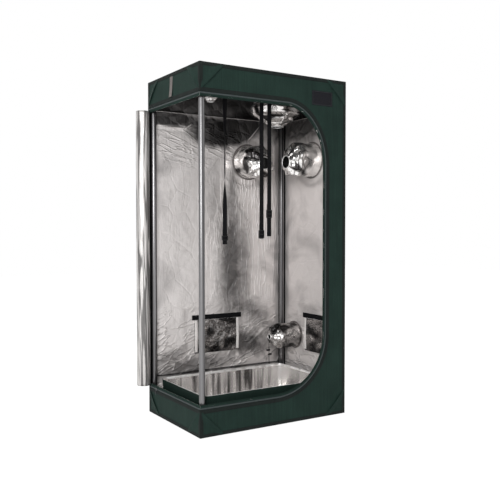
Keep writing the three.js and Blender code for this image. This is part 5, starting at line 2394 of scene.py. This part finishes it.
@dataclass
class Studio:
    """Camera, lamps, floor and background."""

    place: tuple[float, float, float] = (-2.0173, -3.2510, 1.0145)
    turn: tuple[float, float, float] = (90 - 1.714, 0.0, -32.105)
    lens: float = 49.95

    def build_camera(self) -> None:
        """Adds the camera at the photograph's place."""
        data = bpy.data.cameras.new("camera")
        data.lens = self.lens
        data.sensor_width = 36
        data.clip_end = 50
        camera = bpy.data.objects.new("camera", data)
        camera.location = self.place
        camera.rotation_euler = [math.radians(angle) for angle in self.turn]
        bpy.context.collection.objects.link(camera)
        bpy.context.scene.camera = camera

    def lamp(self, name: str, place: Vector, aim: Vector, size: tuple[float, float], power: float) -> None:
        """Adds a soft lamp that looks at a point.

        Args:
            name: the lamp's name.
            place: where it stands.
            aim: the point that it looks at.
            size: its width and height.
            power: its watts.
        """
        data = bpy.data.lights.new(name, "AREA")
        data.shape = "RECTANGLE"
        data.size, data.size_y = size
        data.energy = power
        lamp = bpy.data.objects.new(name, data)
        lamp.location = place
        lamp.rotation_euler = (aim - place).to_track_quat("-Z", "Y").to_euler()
        bpy.context.collection.objects.link(lamp)

    def build_lights(self) -> None:
        """Adds the lamps, the floor and the white background."""
        aim = Vector((0, 0, 0.9))
        self.lamp("key", Vector((-3.7, -3.1, 2.3)), aim, (2.4, 2.4), 165)
        self.lamp("rear", Vector((0.5, 3.6, 3.0)), aim, (2.4, 1.6), 40)
        world = bpy.data.worlds.new("studio")
        bpy.context.scene.world = world
        world.use_nodes = True
        tree = world.node_tree
        tree.nodes.clear()
        output = tree.nodes.new("ShaderNodeOutputWorld")
        soft = tree.nodes.new("ShaderNodeBackground")
        soft.inputs["Strength"].default_value = 0.8
        white = tree.nodes.new("ShaderNodeBackground")
        white.inputs["Strength"].default_value = 1.0
        for node in (soft, white):
            node.inputs["Color"].default_value = (1, 1, 1, 1)
        mix = tree.nodes.new("ShaderNodeMixShader")
        tree.links.new(self.seen_ray(tree), mix.inputs[0])
        tree.links.new(soft.outputs[0], mix.inputs[1])
        tree.links.new(white.outputs[0], mix.inputs[2])
        tree.links.new(mix.outputs[0], output.inputs["Surface"])

    def seen_ray(self, tree: bpy.types.NodeTree) -> Socket:
        """Socket that is 1 for camera, glossy and transmission rays.

        Args:
            tree: the node tree.

        Returns:
            The socket.
        """
        path = tree.nodes.new("ShaderNodeLightPath")
        first = tree.nodes.new("ShaderNodeMath")
        first.operation = "MAXIMUM"
        second = tree.nodes.new("ShaderNodeMath")
        second.operation = "MAXIMUM"
        tree.links.new(path.outputs["Is Camera Ray"], first.inputs[0])
        tree.links.new(path.outputs["Is Glossy Ray"], first.inputs[1])
        tree.links.new(first.outputs[0], second.inputs[0])
        tree.links.new(path.outputs["Is Transmission Ray"], second.inputs[1])
        return second.outputs[0]

    def build_floor(self) -> None:
        """Adds the pale floor, which stays near white and keeps a soft shadow."""
        mesh = bmesh.new()
        bmesh.ops.create_grid(mesh, x_segments=1, y_segments=1, size=12)
        bmesh.ops.translate(mesh, verts=mesh.verts, vec=(0, 0, -0.0045))
        data = bpy.data.meshes.new("floor")
        mesh.to_mesh(data)
        mesh.free()
        floor = bpy.data.objects.new("studio_floor", data)
        bpy.context.collection.objects.link(floor)
        material = bpy.data.materials.new("studio_floor")
        material.use_nodes = True
        tree = material.node_tree
        tree.nodes.clear()
        output = tree.nodes.new("ShaderNodeOutputMaterial")
        diffuse = tree.nodes.new("ShaderNodeBsdfDiffuse")
        diffuse.inputs["Color"].default_value = (0.86, 0.86, 0.86, 1)
        glow = tree.nodes.new("ShaderNodeEmission")
        glow.inputs["Strength"].default_value = 1.2
        share = tree.nodes.new("ShaderNodeMath")
        share.operation = "MULTIPLY"
        share.inputs[1].default_value = 0.75
        tree.links.new(self.seen_ray(tree), share.inputs[0])
        mix = tree.nodes.new("ShaderNodeMixShader")
        tree.links.new(share.outputs[0], mix.inputs[0])
        tree.links.new(diffuse.outputs[0], mix.inputs[1])
        tree.links.new(glow.outputs[0], mix.inputs[2])
        tree.links.new(mix.outputs[0], output.inputs["Surface"])
        data.materials.append(material)

    def card(self, name: str, degrees: float, width: float = 1.2, tall: float = 3.4,
             away: float = 3.5) -> None:
        """Adds a tall dark card out of view, which draws a dark stripe on the posts.

        Args:
            name: the card's name.
            degrees: direction from the front left post, turned from +X.
            width: its width.
            tall: its height.
            away: its distance from the post.
        """
        angle = math.radians(degrees)
        place = Vector((-0.43 + away * math.cos(angle), -0.28 + away * math.sin(angle), 1.3))
        mesh = bmesh.new()
        turn = Matrix.Rotation(angle + QUARTER, 4, "Z") @ Matrix.Rotation(QUARTER, 4, "X")
        stretch = Matrix.Diagonal((width, tall, 1, 1))
        bmesh.ops.create_grid(mesh, x_segments=1, y_segments=1, size=0.5,
                              matrix=Matrix.Translation(place) @ turn @ stretch)
        data = bpy.data.meshes.new(name)
        mesh.to_mesh(data)
        mesh.free()
        card = bpy.data.objects.new(name, data)
        bpy.context.collection.objects.link(card)
        data.materials.append(NodeSheet(name).done((0.01, 0.01, 0.01, 1), 0.9, specular=0.0))

    def build(self) -> None:
        """Adds the lamps, the background, the floor and the two cards."""
        self.build_lights()
        self.card("card_left", 167)
        self.card("card_right", 317)
        self.build_floor()
        bpy.context.scene.view_settings.view_transform = "Standard"


def main() -> None:
    """Builds the camera, the cord and then every sub-assembly of the tent, and reports each piece."""
    logging.basicConfig(level=logging.INFO, format="%(message)s")
    noise.seed_set(NOISE_SEED)
    studio = Studio()
    studio.build_camera()
    looks = Finishes()
    doorway = Doorway(looks)
    for assembly in (
        Drawcord(looks),
        Shell(looks, doorway),
        Bindings(looks, doorway),
        doorway,
        TubeFrame(looks),
        DoorRoll(looks),
        Trimmings(looks),
        Ports(looks),
        Vent(looks, "back", Vector((BACK_VENT, HALF_DEPTH - CLOTH, 0)), -X, Y, 3.0),
        Vent(looks, "side", Vector((HALF_WIDTH - CLOTH, SIDE_VENT, 0)), Y, X, 9.0),
        Crossbar(looks, "crossbar_front"),
        Crossbar(looks, "crossbar_back"),
        *(Strap(looks, number, twisted=number == 1) for number in (1, 2, 3)),
        Tray(looks),
        ZipHardware(looks),
        CornerStrips(looks),
    ):
        assembly.build()
    studio.build()


if __name__ == "__main__":
    main()
